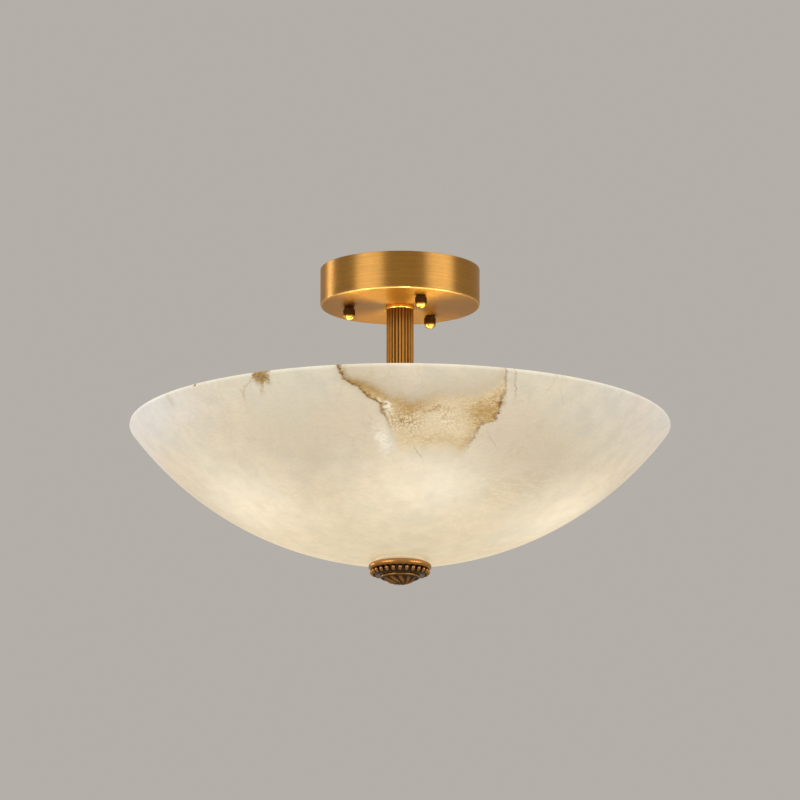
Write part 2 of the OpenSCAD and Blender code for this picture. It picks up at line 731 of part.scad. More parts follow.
module finial() {
    r = finial_d / 2;
    edge = 1.6;
    bulge = 0.3;
    pocket_r = gasket_r + 1.5;
    cove_r = r - 4;
    foot_r = ring_r + 1;
    bead_inset = 0.4;
    blind_end = 0.8;
    color("darkgoldenrod") difference() {
        union() {
            rotate_extrude() polygon([
                [0, finial_seat_z], [pocket_r, finial_seat_z], [pocket_r, band_top_z],
                [r - edge, band_top_z], [r - bulge, band_top_z - edge * 0.6],
                [r, band_top_z - band_h / 2], [r - bulge, band_low_z + edge * 0.6],
                [r - edge, band_low_z], [cove_r + 1, band_low_z - 0.4], [cove_r, bead_z],
                [foot_r + 1.5, ring_z + 2 * ring_half_h], [foot_r, ring_z + ring_half_h],
                [foot_r, ring_z - ring_half_h], [dome_base_r, dome_top_z], [0, dome_top_z]]);
            around(beads) translate([r - bead_r - bead_inset, 0, bead_z]) sphere(bead_r);
            intersection() {
                translate([0, 0, dome_top_z - dome_h + dome_R]) sphere(dome_R);
                translate([0, 0, dome_top_z - dome_h]) cylinder(h = dome_h + joint_eps, r = dome_base_r);
            }
        }
        translate([0, 0, pipe_end_z - blind_end])
            cylinder(h = finial_grip + blind_end + joint_eps, r = pipe_d / 2 + thread_gap);
    }
}

bracket_plate();
bracket_studs();
stud_lock_nuts();
canopy();
backing_plate();
pipe_lock_washer();
pipe_top_nut();
centre_pipe();
stem_collar();
reeded_stem();
terminal_block();
terminal_sleeves();
terminal_screws();
terminal_fixing_screw();
earth_screw();
earth_terminal();
live_lead();
neutral_lead();
earth_lead();
hub_body();
hub_cover();
hub_lock_nut();
junction_block();
arm_nuts();
lamp_leads();
for (i = [0:lamps - 1]) {
    lamp_arm(i);
    lamp_cup(i);
    lampholder(i);
    bulb(i);
}
bowl_top_nut();
bowl_top_washer();
bowl_top_gasket();
bowl();
bowl_bottom_gasket();
finial();
for (i = [0:stud_count - 1]) {
    cap_nut(i);
}
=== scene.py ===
import math

import bmesh
import bpy
import numpy as np
from mathutils import Matrix, Vector


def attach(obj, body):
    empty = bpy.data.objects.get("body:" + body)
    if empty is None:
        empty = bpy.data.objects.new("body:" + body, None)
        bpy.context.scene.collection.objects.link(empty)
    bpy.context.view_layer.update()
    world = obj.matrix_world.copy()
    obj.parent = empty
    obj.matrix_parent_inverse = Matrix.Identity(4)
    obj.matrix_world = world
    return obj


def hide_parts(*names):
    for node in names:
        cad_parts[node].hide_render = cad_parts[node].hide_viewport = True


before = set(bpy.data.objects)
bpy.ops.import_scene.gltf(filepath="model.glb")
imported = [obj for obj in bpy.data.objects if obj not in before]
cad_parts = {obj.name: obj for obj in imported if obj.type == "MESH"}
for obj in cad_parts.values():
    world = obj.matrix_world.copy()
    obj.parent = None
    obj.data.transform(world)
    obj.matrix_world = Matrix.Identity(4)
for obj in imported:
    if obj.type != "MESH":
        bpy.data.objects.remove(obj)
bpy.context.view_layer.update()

# ---- Camera
# It stands 6.5 m in front of the light and 1.6 m below the ceiling, looks up by 13 degrees, and
# its long lens shows about 0.74 m across.

camera_lens = bpy.data.cameras.new("camera")
camera_lens.lens = 324.2
camera_lens.sensor_width = 36
camera_lens.clip_end = 60
camera = bpy.data.objects.new("camera", camera_lens)
camera.location = (0, -6.499, -1.616)
camera.rotation_euler = (math.radians(90 + 12.93), 0, 0)
bpy.context.scene.collection.objects.link(camera)
bpy.context.scene.camera = camera

# ---- Floor and studio light
# A plain pale floor far below the light, a plain grey surround that lights everything alike, and
# three soft boxes round the light.


class Field:
    """What comes out of a node. Arithmetic on it adds Math nodes to its graph."""

    def __init__(self, graph, socket):
        self.graph, self.socket = graph, socket

    def other(self, name):
        return Field(self.graph, self.socket.node.outputs[name])

    def __add__(self, b):
        return self.graph.math("ADD", self, b)

    def __radd__(self, a):
        return self.graph.math("ADD", a, self)

    def __sub__(self, b):
        return self.graph.math("SUBTRACT", self, b)

    def __rsub__(self, a):
        return self.graph.math("SUBTRACT", a, self)

    def __mul__(self, b):
        return self.graph.math("MULTIPLY", self, b)

    def __rmul__(self, a):
        return self.graph.math("MULTIPLY", a, self)

    def __truediv__(self, b):
        return self.graph.math("DIVIDE", self, b)

    def __rtruediv__(self, a):
        return self.graph.math("DIVIDE", a, self)

    def __pow__(self, b):
        return self.graph.math("POWER", self, b)

    def __neg__(self):
        return self.graph.math("MULTIPLY", self, -1.0)

    def __abs__(self):
        return self.graph.math("ABSOLUTE", self)


class Graph:
    """The nodes of one finish or of one rule for a shape."""

    def __init__(self, tree):
        self.tree = tree

    def node(self, kind, settings=None, sockets=None, out=0):
        made = self.tree.nodes.new(kind)
        for name, value in (settings or {}).items():
            if name == "points":
                curve = made.mapping.curves[0]
                for point, place in zip(curve.points, [value[0], value[-1]]):
                    point.location = place
                for place in value[1:-1]:
                    curve.points.new(*place)
                for point in curve.points:
                    point.handle_type = "VECTOR"
                made.mapping.extend = "HORIZONTAL"
                made.mapping.update()
            else:
                setattr(made, name, value)
        for name, value in (sockets or {}).items():
            if isinstance(value, Field):
                self.tree.links.new(value.socket, made.inputs[name])
            else:
                made.inputs[name].default_value = value
        return Field(self, made.outputs[out])

    def math(self, operation, *values):
        return self.node("ShaderNodeMath", {"operation": operation}, dict(enumerate(values)))


class Finish(Graph):
    """A material. Lengths in it are millimetres on the object's own coordinates."""

    def __init__(self, name, **constants):
        self.material = bpy.data.materials.new(name)
        self.material.use_nodes = True
        super().__init__(self.material.node_tree)
        self.shader = next(n for n in self.tree.nodes if n.type == "BSDF_PRINCIPLED")
        for socket, value in constants.items():
            self.shader.inputs[socket.replace("_", " ")].default_value = value

    def feed(self, socket, field):
        self.tree.links.new(field.socket, self.shader.inputs[socket])

    def place(self, scale=(1, 1, 1), shift=(0, 0, 0)):
        coords = self.node("ShaderNodeTexCoord", out="Object")
        return self.node("ShaderNodeMapping", {}, {
            "Vector": coords, "Scale": tuple(1000 * s for s in scale), "Location": shift})

    def parts(self, vector):
        x = self.node("ShaderNodeSeparateXYZ", {}, {"Vector": vector}, "X")
        return x, x.other("Y"), x.other("Z")

    def radius(self):
        """The distance from the light's axis."""
        x, y, z = self.parts(self.place())
        return (x * x + y * y) ** 0.5

    def vector(self, x, y, z):
        return self.node("ShaderNodeCombineXYZ", {}, {"X": x, "Y": y, "Z": z})

    def noise(self, vector, size, detail=3.0, roughness=0.55, distortion=0.0):
        return self.node("ShaderNodeTexNoise", {}, {
            "Vector": vector, "Scale": 1.0 / size, "Detail": detail, "Roughness": roughness,
            "Distortion": distortion})

    def rise(self, value, low, high):
        return self.node("ShaderNodeMapRange", {"interpolation_type": "SMOOTHSTEP"}, {
            "Value": value, "From Min": low, "From Max": high})

    def bell(self, value, width):
        return self.math("EXPONENT", -((value / width) ** 2.0))

    def mix(self, factor, a, b, blend="MIX"):
        a, b = ((*c, 1) if isinstance(c, tuple) else c for c in (a, b))
        return self.node("ShaderNodeMix", {"data_type": "RGBA", "blend_type": blend}, {
            0: factor, 6: a, 7: b}, 2)

    def bump(self, height, depth, strength=1.0):
        return self.node("ShaderNodeBump", {}, {
            "Height": height, "Distance": depth / 1000, "Strength": strength})


def add_mesh(name, points, faces):
    """A new piece from points in millimetres."""
    mesh = bpy.data.meshes.new(name)
    mesh.from_pydata((np.asarray(points, float) / 1000).tolist(), [], faces)
    piece = bpy.data.objects.new(name, mesh)
    bpy.context.scene.collection.objects.link(piece)
    return piece


floor_drop = 7600
floor_r = 14000
pale_floor = Finish("pale_floor", Roughness=0.8)
floor_grain = pale_floor.noise(pale_floor.place(), 900.0)
pale_floor.feed("Base Color", pale_floor.mix(floor_grain, (0.78, 0.76, 0.73), (0.82, 0.80, 0.77)))
rim = [math.tau * k / 96 for k in range(96)]
floor = add_mesh("floor", [(floor_r * math.cos(a), floor_r * math.sin(a), -floor_drop) for a in rim],
                 [list(range(96))])
floor.data.materials.append(pale_floor.material)

surround = bpy.data.worlds.new("surround")
surround.use_nodes = True
surround.node_tree.nodes["Background"].inputs["Color"].default_value = (0.455, 0.43, 0.395, 1)
bpy.context.scene.world = surround


def soft_box(name, azimuth, height, distance, size, power):
    """An area lamp that faces the object. Azimuth 0 is the camera's side, and it grows to +X."""
    lamp = bpy.data.lights.new(name, "AREA")
    lamp.shape, lamp.size, lamp.size_y = "RECTANGLE", *size
    lamp.energy = power
    box = bpy.data.objects.new(name, lamp)
    a = math.radians(azimuth)
    box.location = (distance * math.sin(a), -distance * math.cos(a), height)
    towards = Vector((0, 0, -0.12)) - box.location
    box.rotation_euler = towards.to_track_quat("-Z", "Y").to_euler()
    box.visible_camera = False
    bpy.context.scene.collection.objects.link(box)


soft_box("left_box", -45, 0.5, 2.6, (1.9, 1.4), 23)
soft_box("right_box", 60, 0.5, 2.6, (2.0, 1.4), 24)
soft_box("side_strip", -120, 0.3, 2.2, (0.42, 1.4), 7)

# ---- Ceiling bracket
# A pressed steel disc with a pan, screwed flat to the ceiling. Three M4 studs hang from the pan,
# each held by a lock nut. All of it is zinc plated.


def dress(finish, *nodes):
    """Gives CAD nodes a finish."""
    for name in nodes:
        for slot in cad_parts[name].material_slots:
            slot.material = finish.material


def plated(name, tint, rough):
    """Electroplated steel: a cloudy, faintly grained metal with fine scratches."""
    finish = Finish(name, Metallic=1.0, Anisotropic=0.2)
    at = finish.place()
    clouds = finish.noise(at, 6.0, 4)
    scratches = finish.noise(finish.place(scale=(1, 0.06, 0.3)), 0.5, 2)
    shade = finish.mix(clouds, tuple(0.82 * c for c in tint), tuple(1.1 * c for c in tint))
    finish.feed("Base Color", shade)
    finish.feed("Roughness", rough - 0.08 + 0.16 * clouds + 0.08 * scratches)
    finish.feed("Normal", finish.bump(scratches, 0.03, 0.4))
    return finish


zinc = plated("zinc_plate", (0.60, 0.60, 0.58), 0.34)
dress(zinc, "bracket_plate", "stud_lock_nuts")


def threaded(name, pitch):
    """Plated steel with a screw thread of that pitch round the object's axis."""
    finish = plated(name, (0.56, 0.56, 0.54), 0.30)
    x, y, z = finish.parts(finish.place())
    turn = finish.math("ARCTAN2", y, x) / math.tau
    ridge = finish.math("PINGPONG", z / pitch + turn, 0.5) * 2.0
    finish.feed("Normal", finish.bump(ridge, 0.35 * pitch, 0.8))
    return finish


def drilled(name, tint):
    """Plated steel with fine machining rings along Z."""
    finish = plated(name, tint, 0.30)
    z = finish.parts(finish.place())[2]
    rings = finish.math("PINGPONG", z / 0.7, 0.5) * 2.0
    finish.feed("Normal", finish.bump(rings, 0.16, 0.6))
    return finish


stud_thread = drilled("stud_thread", (0.58, 0.57, 0.54))
dress(stud_thread, "bracket_studs")

# ---- Canopy
# A cup of 1.5 mm brass sheet, spun and then brushed on the lathe, so its grain runs round it. Its
# lower edge is rolled. It hangs on the three studs, whose holes go through its floor.

canopy_r = 74.0
canopy_low = -35.0
canopy_wall = 1.5
canopy_edge = 2.0
stud_circle_r = 47.5
stud_turns = [54, 174, 294]
stud_hole_r, pipe_hole_r = 2.25, 5.25
edge_tint = (0.89, 0.66, 0.42, 1.0)


def brushed_brass(name, tint, rough, painted_highlight=None):
    """Brass with a lathe-brushed grain: fine rings round the object's axis, a slow drift of tone,
    and a lacquer that lets a few darker rings show. Where the highlight mask is 1, a painted
    highlight makes it brighter and smoother."""
    finish = Finish(name, Metallic=1.0, Anisotropic=0.82, Anisotropic_Rotation=0.25,
                    Specular_Tint=edge_tint, Coat_Weight=0.45, Coat_Roughness=0.28)
    at = finish.place()
    x, y, z = finish.parts(at)
    radius = (x * x + y * y) ** 0.5
    drift = finish.noise(at, 28.0, 2)
    rings = finish.noise(finish.vector(radius, z, drift * 5.0), 0.9, 6, 0.72)
    fine = finish.noise(finish.vector(radius * 3.0, z * 3.0, drift * 14.0), 0.8, 4, 0.6)
    clouds = finish.noise(at, 11.0, 4)
    dark = tuple(0.74 * c for c in tint)
    light = tuple(min(1.0, 1.16 * c) for c in tint)
    shade = finish.mix(finish.rise(rings, 0.3, 0.7), dark, light)
    shade = finish.mix(0.35 * clouds, shade, tuple(0.66 * c for c in tint))
    rough = rough - 0.07 + 0.14 * rings + 0.05 * clouds
    if painted_highlight is not None:
        # A painted highlight: brighter, smoother brass where the mask is 1.
        highlight = painted_highlight(finish, radius, z)
        shade = finish.mix(highlight, shade, (0.92, 0.56, 0.20))
        rough = rough - 0.12 * highlight
    finish.feed("Base Color", shade)
    finish.feed("Roughness", rough)
    finish.feed("Normal", finish.bump(rings + 0.5 * fine, 0.035, 0.5))
    return finish


def rounded(corners, steps=5):
    """A closed outline of (r, z, fillet radius) corners, with each fillet drawn as an arc."""
    outline = []
    for i, (r, z, fillet) in enumerate(corners):
        here = np.array([r, z], float)
        if fillet == 0:
            outline.append(here)
            continue
        before = np.array(corners[i - 1][:2], float) - here
        after = np.array(corners[(i + 1) % len(corners)][:2], float) - here
        a, b = before / np.linalg.norm(before), after / np.linalg.norm(after)
        half = math.acos(float(np.clip(a @ b, -1, 1))) / 2
        room = 0.49 * min(np.linalg.norm(before), np.linalg.norm(after))
        reach = min(fillet / math.tan(half), room)
        radius = reach * math.tan(half)
        middle = here + (a + b) / np.linalg.norm(a + b) * radius / math.sin(half)
        start, end = here + a * reach - middle, here + b * reach - middle
        sweep = math.atan2(start[0] * end[1] - start[1] * end[0], float(start @ end))
        for k in range(steps + 1):
            t = sweep * k / steps
            turned_start = (start[0] * math.cos(t) - start[1] * math.sin(t),
                            start[0] * math.sin(t) + start[1] * math.cos(t))
            outline.append(middle + np.array(turned_start))
    return outline


def close_up(piece, sharp=32):
    """Merges a piece's doubles, turns its faces outwards and sets which edges stay sharp."""
    mesh = bmesh.new()
    mesh.from_mesh(piece.data)
    bmesh.ops.remove_doubles(mesh, verts=mesh.verts, dist=1e-6)
    bmesh.ops.recalc_face_normals(mesh, faces=mesh.faces)
    mesh.to_mesh(piece.data)
    mesh.free()
    piece.data.shade_smooth()
    piece.data.set_sharp_from_angle(angle=math.radians(sharp))
    return piece


def shell(name, rows, closed=True, sharp=32):
    """A piece whose skin joins rows of points. Each row is a ring of (x, y, z)."""
    rows = np.asarray(rows, float)
    count, around = rows.shape[:2]
    faces = []
    for i in range(count if closed else count - 1):
        for k in range(around):
            j, n = (i + 1) % count, (k + 1) % around
            faces.append((i * around + k, i * around + n, j * around + n, j * around + k))
    return close_up(add_mesh(name, rows.reshape(-1, 3), faces), sharp)


def turned(name, outline, around=160, closed=True, sharp=32):
    """A lathe-turned piece from its outline of (r, z)."""
    outline = np.asarray([p[:2] for p in outline], float)
    turns = np.linspace(0, math.tau, around, endpoint=False)
    rows = [[(r * math.cos(a), r * math.sin(a), z) for a in turns] for r, z in outline]
    return shell(name, rows, closed, sharp)


def joined(name, *pieces):
    """One piece made of several."""
    mesh = bmesh.new()
    for piece in pieces:
        mesh.from_mesh(piece.data)
    whole = pieces[0]
    mesh.to_mesh(whole.data)
    mesh.free()
    for piece in pieces[1:]:
        bpy.data.objects.remove(piece)
    whole.name = name
    return whole


def holed(piece, centres, r, low, high):
    """Drills upright holes through a piece."""
    for number, (x, y) in enumerate(centres):
        outline = [(0.0001, low), (r, low), (r, high), (0.0001, high)]
        drill = turned("drill", outline, 32, closed=False)
        drill.data.transform(Matrix.Translation((x / 1000, y / 1000, 0)))
        cut = piece.modifiers.new("hole", "BOOLEAN")
        cut.operation, cut.object, cut.solver = "DIFFERENCE", drill, "EXACT"
        depsgraph = bpy.context.evaluated_depsgraph_get()
        mesh = bpy.data.meshes.new_from_object(piece.evaluated_get(depsgraph), depsgraph=depsgraph)
        piece.modifiers.remove(cut)
        piece.data = mesh
        bpy.data.objects.remove(drill)
    return close_up(piece)


canopy = turned("canopy_cup", rounded([
    (canopy_r, 0, 0.3), (canopy_r, canopy_low, canopy_edge), (pipe_hole_r, canopy_low, 0.2),
    (pipe_hole_r, canopy_low + canopy_wall, 0.2),
    (canopy_r - canopy_wall, canopy_low + canopy_wall, canopy_edge - canopy_wall),
    (canopy_r - canopy_wall, 0, 0.3)], 8), 192)
canopy = holed(canopy, [(stud_circle_r * math.cos(math.radians(a)),
                         stud_circle_r * math.sin(math.radians(a))) for a in stud_turns],
               stud_hole_r, canopy_low - 1, canopy_low + canopy_wall + 1)
satin_brass = brushed_brass("satin_brass", (0.51, 0.245, 0.035), 0.36)
# Painted highlights make the canopy brighter along its lower edge and round the stem.
canopy_brass = brushed_brass("canopy_brass", (0.51, 0.245, 0.035), 0.36, painted_highlight=lambda f, r, z: (
    f.bell(r - canopy_r + 0.7, 0.9) * f.bell(z - canopy_low - 0.7, 0.9) + 0.5 * f.bell(r, 24.0)))
canopy.data.materials.append(canopy_brass.material)
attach(canopy, "fixture")
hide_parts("canopy")

# ---- Cap nuts
# Three turned brass nuts close the studs' ends and draw the canopy up: a plain neck, a grip with
# a crossed knurl, a bright ring and a domed end.

nut_r = 5.5
nut_neck_r = 4.5
nut_bore_r = 2.05
nut_bore_depth = 9.5
nut_h = 12.0
nut_ring_r = 5.4
nut_dome_r, nut_dome_top = 5.1, -9.35
grip_top, grip_low = -2.1, -7.0
knurl_depth = 0.34
knurl_count = 22


def cap_nut(name):
    """A cap nut at the top of its own frame, its dome down."""
    turns = np.linspace(0, math.tau, 132, endpoint=False)
    rows = [(0, -nut_bore_depth), (nut_bore_r, -nut_bore_depth), (nut_bore_r, -0.3),
            (nut_bore_r + 0.3, 0), (nut_neck_r - 0.2, 0), (nut_neck_r, -0.2), (nut_neck_r, -1.45),
            (nut_neck_r + 0.2, -1.6), (nut_r - 0.25, -1.75), (nut_r, grip_top + 0.1)]
    rows += [(nut_r, z) for z in np.linspace(grip_top, grip_low, 19)]
    rows += [(nut_r - 0.1, -7.2), (nut_r - 0.55, -7.4), (nut_r - 0.6, -7.7), (nut_ring_r - 0.2, -7.9),
             (nut_ring_r, -8.2), (nut_ring_r, -8.9), (nut_ring_r - 0.2, -9.2)]
    dome_h = nut_h + nut_dome_top
    sphere_r = (nut_dome_r ** 2 + dome_h ** 2) / (2 * dome_h)
    for k in range(1, 13):
        r = nut_dome_r * (1 - (k / 12) ** 1.5)
        rows.append((r, -nut_h + sphere_r - math.sqrt(sphere_r ** 2 - r ** 2)))
    rings = []
    for r, z in rows:
        radii = np.full(len(turns), max(r, 0.0001))
        if grip_low < z < grip_top and r == nut_r:
            lead = (z - grip_low) * 1.35
            cut = np.minimum(np.abs(np.sin(knurl_count / 2 * turns + lead)),
                             np.abs(np.sin(knurl_count / 2 * turns - lead)))
            radii = radii - knurl_depth * (1 - cut) ** 1.6
        rings.append(np.stack([radii * np.cos(turns), radii * np.sin(turns), z + 0 * turns], 1))
    return shell(name, rings, closed=False, sharp=38)


def antique_brass(name, tint, rough, hollow=None, lacquer=0.0):
    """Cast or rolled brass, darkened where the given mask is 1, and rubbed bright on its crests.
    The mask marks patina in hollows; on the cap nuts it also paints shade on the neck.
    """
    finish = Finish(name, Metallic=1.0, Specular_Tint=edge_tint, Coat_Weight=lacquer,
                    Coat_Roughness=0.08)
    at = finish.place()
    clouds = finish.noise(at, 5.0, 5, 0.65)
    pits = finish.noise(at, 0.55, 4, 0.7)
    light = tuple(min(1.0, 1.15 * c) for c in tint)
    shade = finish.mix(clouds, tuple(0.72 * c for c in tint), light)
    if hollow is not None:
        dark = hollow(finish)
        patina = finish.mix(pits, (0.030, 0.015, 0.006), (0.11, 0.055, 0.016))
        shade = finish.mix(finish.rise(dark + 0.25 * (clouds - 0.5), 0.15, 0.85), shade, patina)
        rough = rough + 0.22 * dark
    finish.feed("Base Color", shade)
    finish.feed("Roughness", rough - 0.06 + 0.12 * pits)
    finish.feed("Normal", finish.bump(pits, 0.03, 0.5))
    return finish


grip_end = canopy_low + grip_low
# Darker above the grip's lower end: patina in the knurl, and painted shade on the neck under the
# canopy.
nut_brass = antique_brass("cap_nut_brass", (0.92, 0.54, 0.14), 0.17, lambda f: (
    f.rise(f.parts(f.place())[2], grip_end - 1.2, grip_end - 0.2) * 0.8))
for number, turn in enumerate(stud_turns, 1):
    nut = cap_nut(f"cap_nut_{number}_turned")
    a = math.radians(turn)
    nut.data.transform(Matrix.Translation((stud_circle_r * math.cos(a) / 1000,
                                           stud_circle_r * math.sin(a) / 1000, canopy_low / 1000)))
    nut.data.materials.append(nut_brass.material)
    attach(nut, f"cap_nut_{number}")
    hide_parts(f"cap_nut_{number}")

# ---- Backing plate and pipe
# A steel plate on the canopy's floor takes the load of a hollow M10 x 1 pipe, which hangs by its
# top nut and washer and carries everything below.


def hex_rings(flats, low, high, lower_bore, upper_bore, around):
    """The rings of a hexagonal nut with chamfered corners, between its bore's (r, z) points."""
    turns = np.linspace(0, math.tau, around, endpoint=False)
    side = flats / 2 / np.cos(turns % (math.pi / 3) - math.pi / 6)
    face_r = 0.47 * flats
    fall = (side - face_r) * math.tan(math.radians(28))
    rows = [*lower_bore, (face_r, low), (side, low + fall), (side, high - fall), (face_r, high),
            *upper_bore]
    return [np.stack([r * np.cos(turns), r * np.sin(turns), z + 0 * turns], 1) for r, z in rows]


def pipe_nut(name, low, node):
    """One of the nuts on the pipe, with a countersunk bore."""
    high, bore_r, ease = low + pipe_nut_h, pipe_nut_bore_r, 0.4
    lower_bore = [(bore_r, low + ease), (bore_r + ease, low)]
    upper_bore = [(bore_r + ease, high), (bore_r, high - ease)]
    nut = shell(name, hex_rings(pipe_nut_flats, low, high, lower_bore, upper_bore, 144), sharp=20)
    nut.data.materials.append(zinc.material)
    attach(nut, "fixture")
    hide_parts(node)


pipe_nut_flats, pipe_nut_h, pipe_nut_bore_r = 14.0, 4.0, 5.05
pipe_top_nut_low = -30.5
dress(zinc, "backing_plate", "pipe_lock_washer")
dress(threaded("pipe_thread", 1.0), "centre_pipe")
pipe_nut("pipe_top_hex", pipe_top_nut_low, "pipe_top_nut")

# ---- Terminal block and earth
# A white three-pole block screwed to the backing plate, with brass sleeves and steel clamping
# screws, and beside it the earth screw with its crimped ring.


def moulded(name, colour, rough, size=2.0, depth=0.02, **glow):
    """Moulded plastic, rubber or glaze: a faint cloudiness and a fine skin."""
    finish = Finish(name, Specular_IOR_Level=0.5, **glow)
    at = finish.place()
    clouds = finish.noise(at, 4 * size, 3)
    skin = finish.noise(at, 0.25 * size, 3, 0.6)
    light = tuple(min(1.0, 1.05 * c) for c in colour)
    finish.feed("Base Color", finish.mix(clouds, tuple(0.9 * c for c in colour), light))
    finish.feed("Roughness", rough - 0.05 + 0.1 * skin)
    finish.feed("Normal", finish.bump(skin, depth, 0.5))
    return finish


block_plastic = moulded("block_plastic", (0.80, 0.79, 0.74), 0.42)
dress(block_plastic, "terminal_block")
dress(drilled("screw_steel", (0.55, 0.55, 0.53)), "terminal_screws", "terminal_fixing_screw")
dress(satin_brass, "terminal_sleeves", "earth_screw")
dress(zinc, "earth_terminal")

# ---- Leads
# PVC-covered leads: brown and blue from the block over the pipe's top and down its bore, green
# and yellow to the earth screw, and white silicone pairs inside the lamp arms.


def sleeved(name, colour, stripe=None):
    """An extruded wire cover, smooth along its length, with a second colour in bands if given."""
    finish = moulded(name, colour, 0.38, 1.0, 0.01)
    if stripe:
        x, y, z = finish.parts(finish.place())
        band = finish.rise(finish.math("PINGPONG", (x + 0.6 * y + z) / 3.0, 0.5), 0.2, 0.3)
        base = finish.mix(finish.noise(finish.place(), 2.0), colour, tuple(0.85 * c for c in colour))
        finish.feed("Base Color", finish.mix(band, base, stripe))
    return finish


dress(sleeved("brown_lead", (0.20, 0.09, 0.045)), "live_lead")
dress(sleeved("blue_lead", (0.04, 0.14, 0.45)), "neutral_lead")
dress(sleeved("earth_lead_cover", (0.50, 0.55, 0.05), (0.04, 0.28, 0.08)), "earth_lead")
dress(sleeved("lamp_lead_cover", (0.78, 0.77, 0.74)), "lamp_leads")

# ---- Stem
# A brass tube rolled with 24 round reeds, darkened between them, under a plain turned ring that
# covers its joint with the canopy.

collar_r, collar_low, collar_top = 13.5, -38.5, -35.0
stem_low, stem_top = -170.0, -38.5
stem_bore_r = 8.5
stem_core_r = 11.53
reed_circle_r, reed_r, reed_count = 11.108, 1.392, 24
reed_shade = (11.75, 12.3)


class Rule(Graph):
    """A Geometry Nodes tree with named inputs that grows a piece."""

    kinds = {"count": "NodeSocketInt", "finish": "NodeSocketMaterial", "piece": "NodeSocketGeometry"}

    def __init__(self, name, *inputs):
        super().__init__(bpy.data.node_groups.new(name, "GeometryNodeTree"))
        for entry in ("piece", *inputs):
            kind = self.kinds.get(entry.split()[-1], "NodeSocketFloat")
            self.tree.interface.new_socket(entry, in_out="INPUT", socket_type=kind)
        self.tree.interface.new_socket("grown", in_out="OUTPUT", socket_type="NodeSocketGeometry")
        self.piece = self.node("NodeGroupInput")

    def entry(self, name):
        return self.piece.other(name)

    def turned_copies(self, source, count, first_turn):
        """Copies of a source, each turned a step further about the light's axis."""
        points = self.node("GeometryNodePoints", {}, {"Count": count})
        step = self.node("GeometryNodeInputIndex") * (math.tau / count) + first_turn
        turn = self.node("ShaderNodeCombineXYZ", {}, {"Z": step})
        return self.node("GeometryNodeInstanceOnPoints", {}, {
            "Points": points, "Instance": source, "Rotation": turn})

    def end(self, geometry):
        real = self.node("GeometryNodeRealizeInstances", {}, {"Geometry": geometry})
        dressed = self.node("GeometryNodeSetMaterial", {}, {
            "Geometry": real, "Material": self.entry("finish")})
        out = self.tree.nodes.new("NodeGroupOutput")
        self.tree.links.new(dressed.socket, out.inputs["grown"])

    def grow(self, piece, **sizes):
        """Runs the tree on a piece and keeps the result as its plain mesh."""
        modifier = piece.modifiers.new("rule", "NODES")
        modifier.node_group = self.tree
        for item in self.tree.interface.items_tree:
            if item.in_out == "INPUT" and item.name.replace(" ", "_") in sizes:
                modifier[item.identifier] = sizes[item.name.replace(" ", "_")]
        bpy.context.view_layer.update()
        depsgraph = bpy.context.evaluated_depsgraph_get()
        mesh = bpy.data.meshes.new_from_object(
            piece.evaluated_get(depsgraph), preserve_all_data_layers=True, depsgraph=depsgraph)
        piece.modifiers.remove(modifier)
        piece.data = mesh


reeding = Rule("reeded_tube", "reed count", "reed radius", "circle radius", "length", "low end",
               "first turn", "finish")
length = reeding.entry("length")
reed = reeding.node("GeometryNodeMeshCylinder", {}, {
    "Vertices": 22, "Radius": reeding.entry("reed radius"), "Depth": length})
place = reeding.node("ShaderNodeCombineXYZ", {}, {
    "X": reeding.entry("circle radius"), "Z": reeding.entry("low end") + length / 2.0})
reed = reeding.node("GeometryNodeTransform", {}, {"Geometry": reed, "Translation": place})
reeds = reeding.turned_copies(reed, reeding.entry("reed count"), reeding.entry("first turn"))
join = reeding.node("GeometryNodeJoinGeometry")
reeding.tree.links.new(reeding.piece.socket, join.socket.node.inputs[0])
reeding.tree.links.new(reeds.socket, join.socket.node.inputs[0])
reeding.end(join)

stem_brass = antique_brass("stem_brass", (0.325, 0.142, 0.029), 0.3,
                           lambda f: 1.0 - f.rise(f.radius(), *reed_shade))
stem_brass.shader.inputs["Specular Tint"].default_value = (0.45, 0.31, 0.18, 1.0)
stem = turned("stem_tube", rounded([
    (stem_bore_r, stem_low, 0.1), (stem_core_r, stem_low, 0.1), (stem_core_r, stem_top, 0.1),
    (stem_bore_r, stem_top, 0.1)], 1), 96)
reeding.grow(stem, reed_count=reed_count, reed_radius=reed_r / 1000,
             circle_radius=reed_circle_r / 1000, length=(stem_top - stem_low) / 1000,
             low_end=stem_low / 1000, first_turn=math.radians(30), finish=stem_brass.material)
stem.data.shade_smooth()
stem.data.set_sharp_from_angle(angle=math.radians(35))
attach(stem, "fixture")
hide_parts("reeded_stem")

collar_brass = antique_brass("collar_brass", (0.86, 0.50, 0.12), 0.2)
collar = turned("stem_ring", rounded([
    (pipe_hole_r, collar_low, 0.2), (collar_r - 0.7, collar_low, 0.3),
    (collar_r, collar_low + 0.9, 0.8), (collar_r, collar_top - 0.9, 0.8),
    (collar_r - 0.7, collar_top, 0.3), (pipe_hole_r, collar_top, 0.2)], 5), 128)
collar.data.materials.append(collar_brass.material)
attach(collar, "fixture")
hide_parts("stem_collar")

# ---- Hub
# A five-sided brass box that carries a lamp arm on each flat, closed from below by a cover that
# the lock nut holds up. Inside it a ring-shaped block joins the lamps' leads.

lamps = 5
lamp_turn = -82.0
lamp_drop = -185.0
hub_low = -200.0


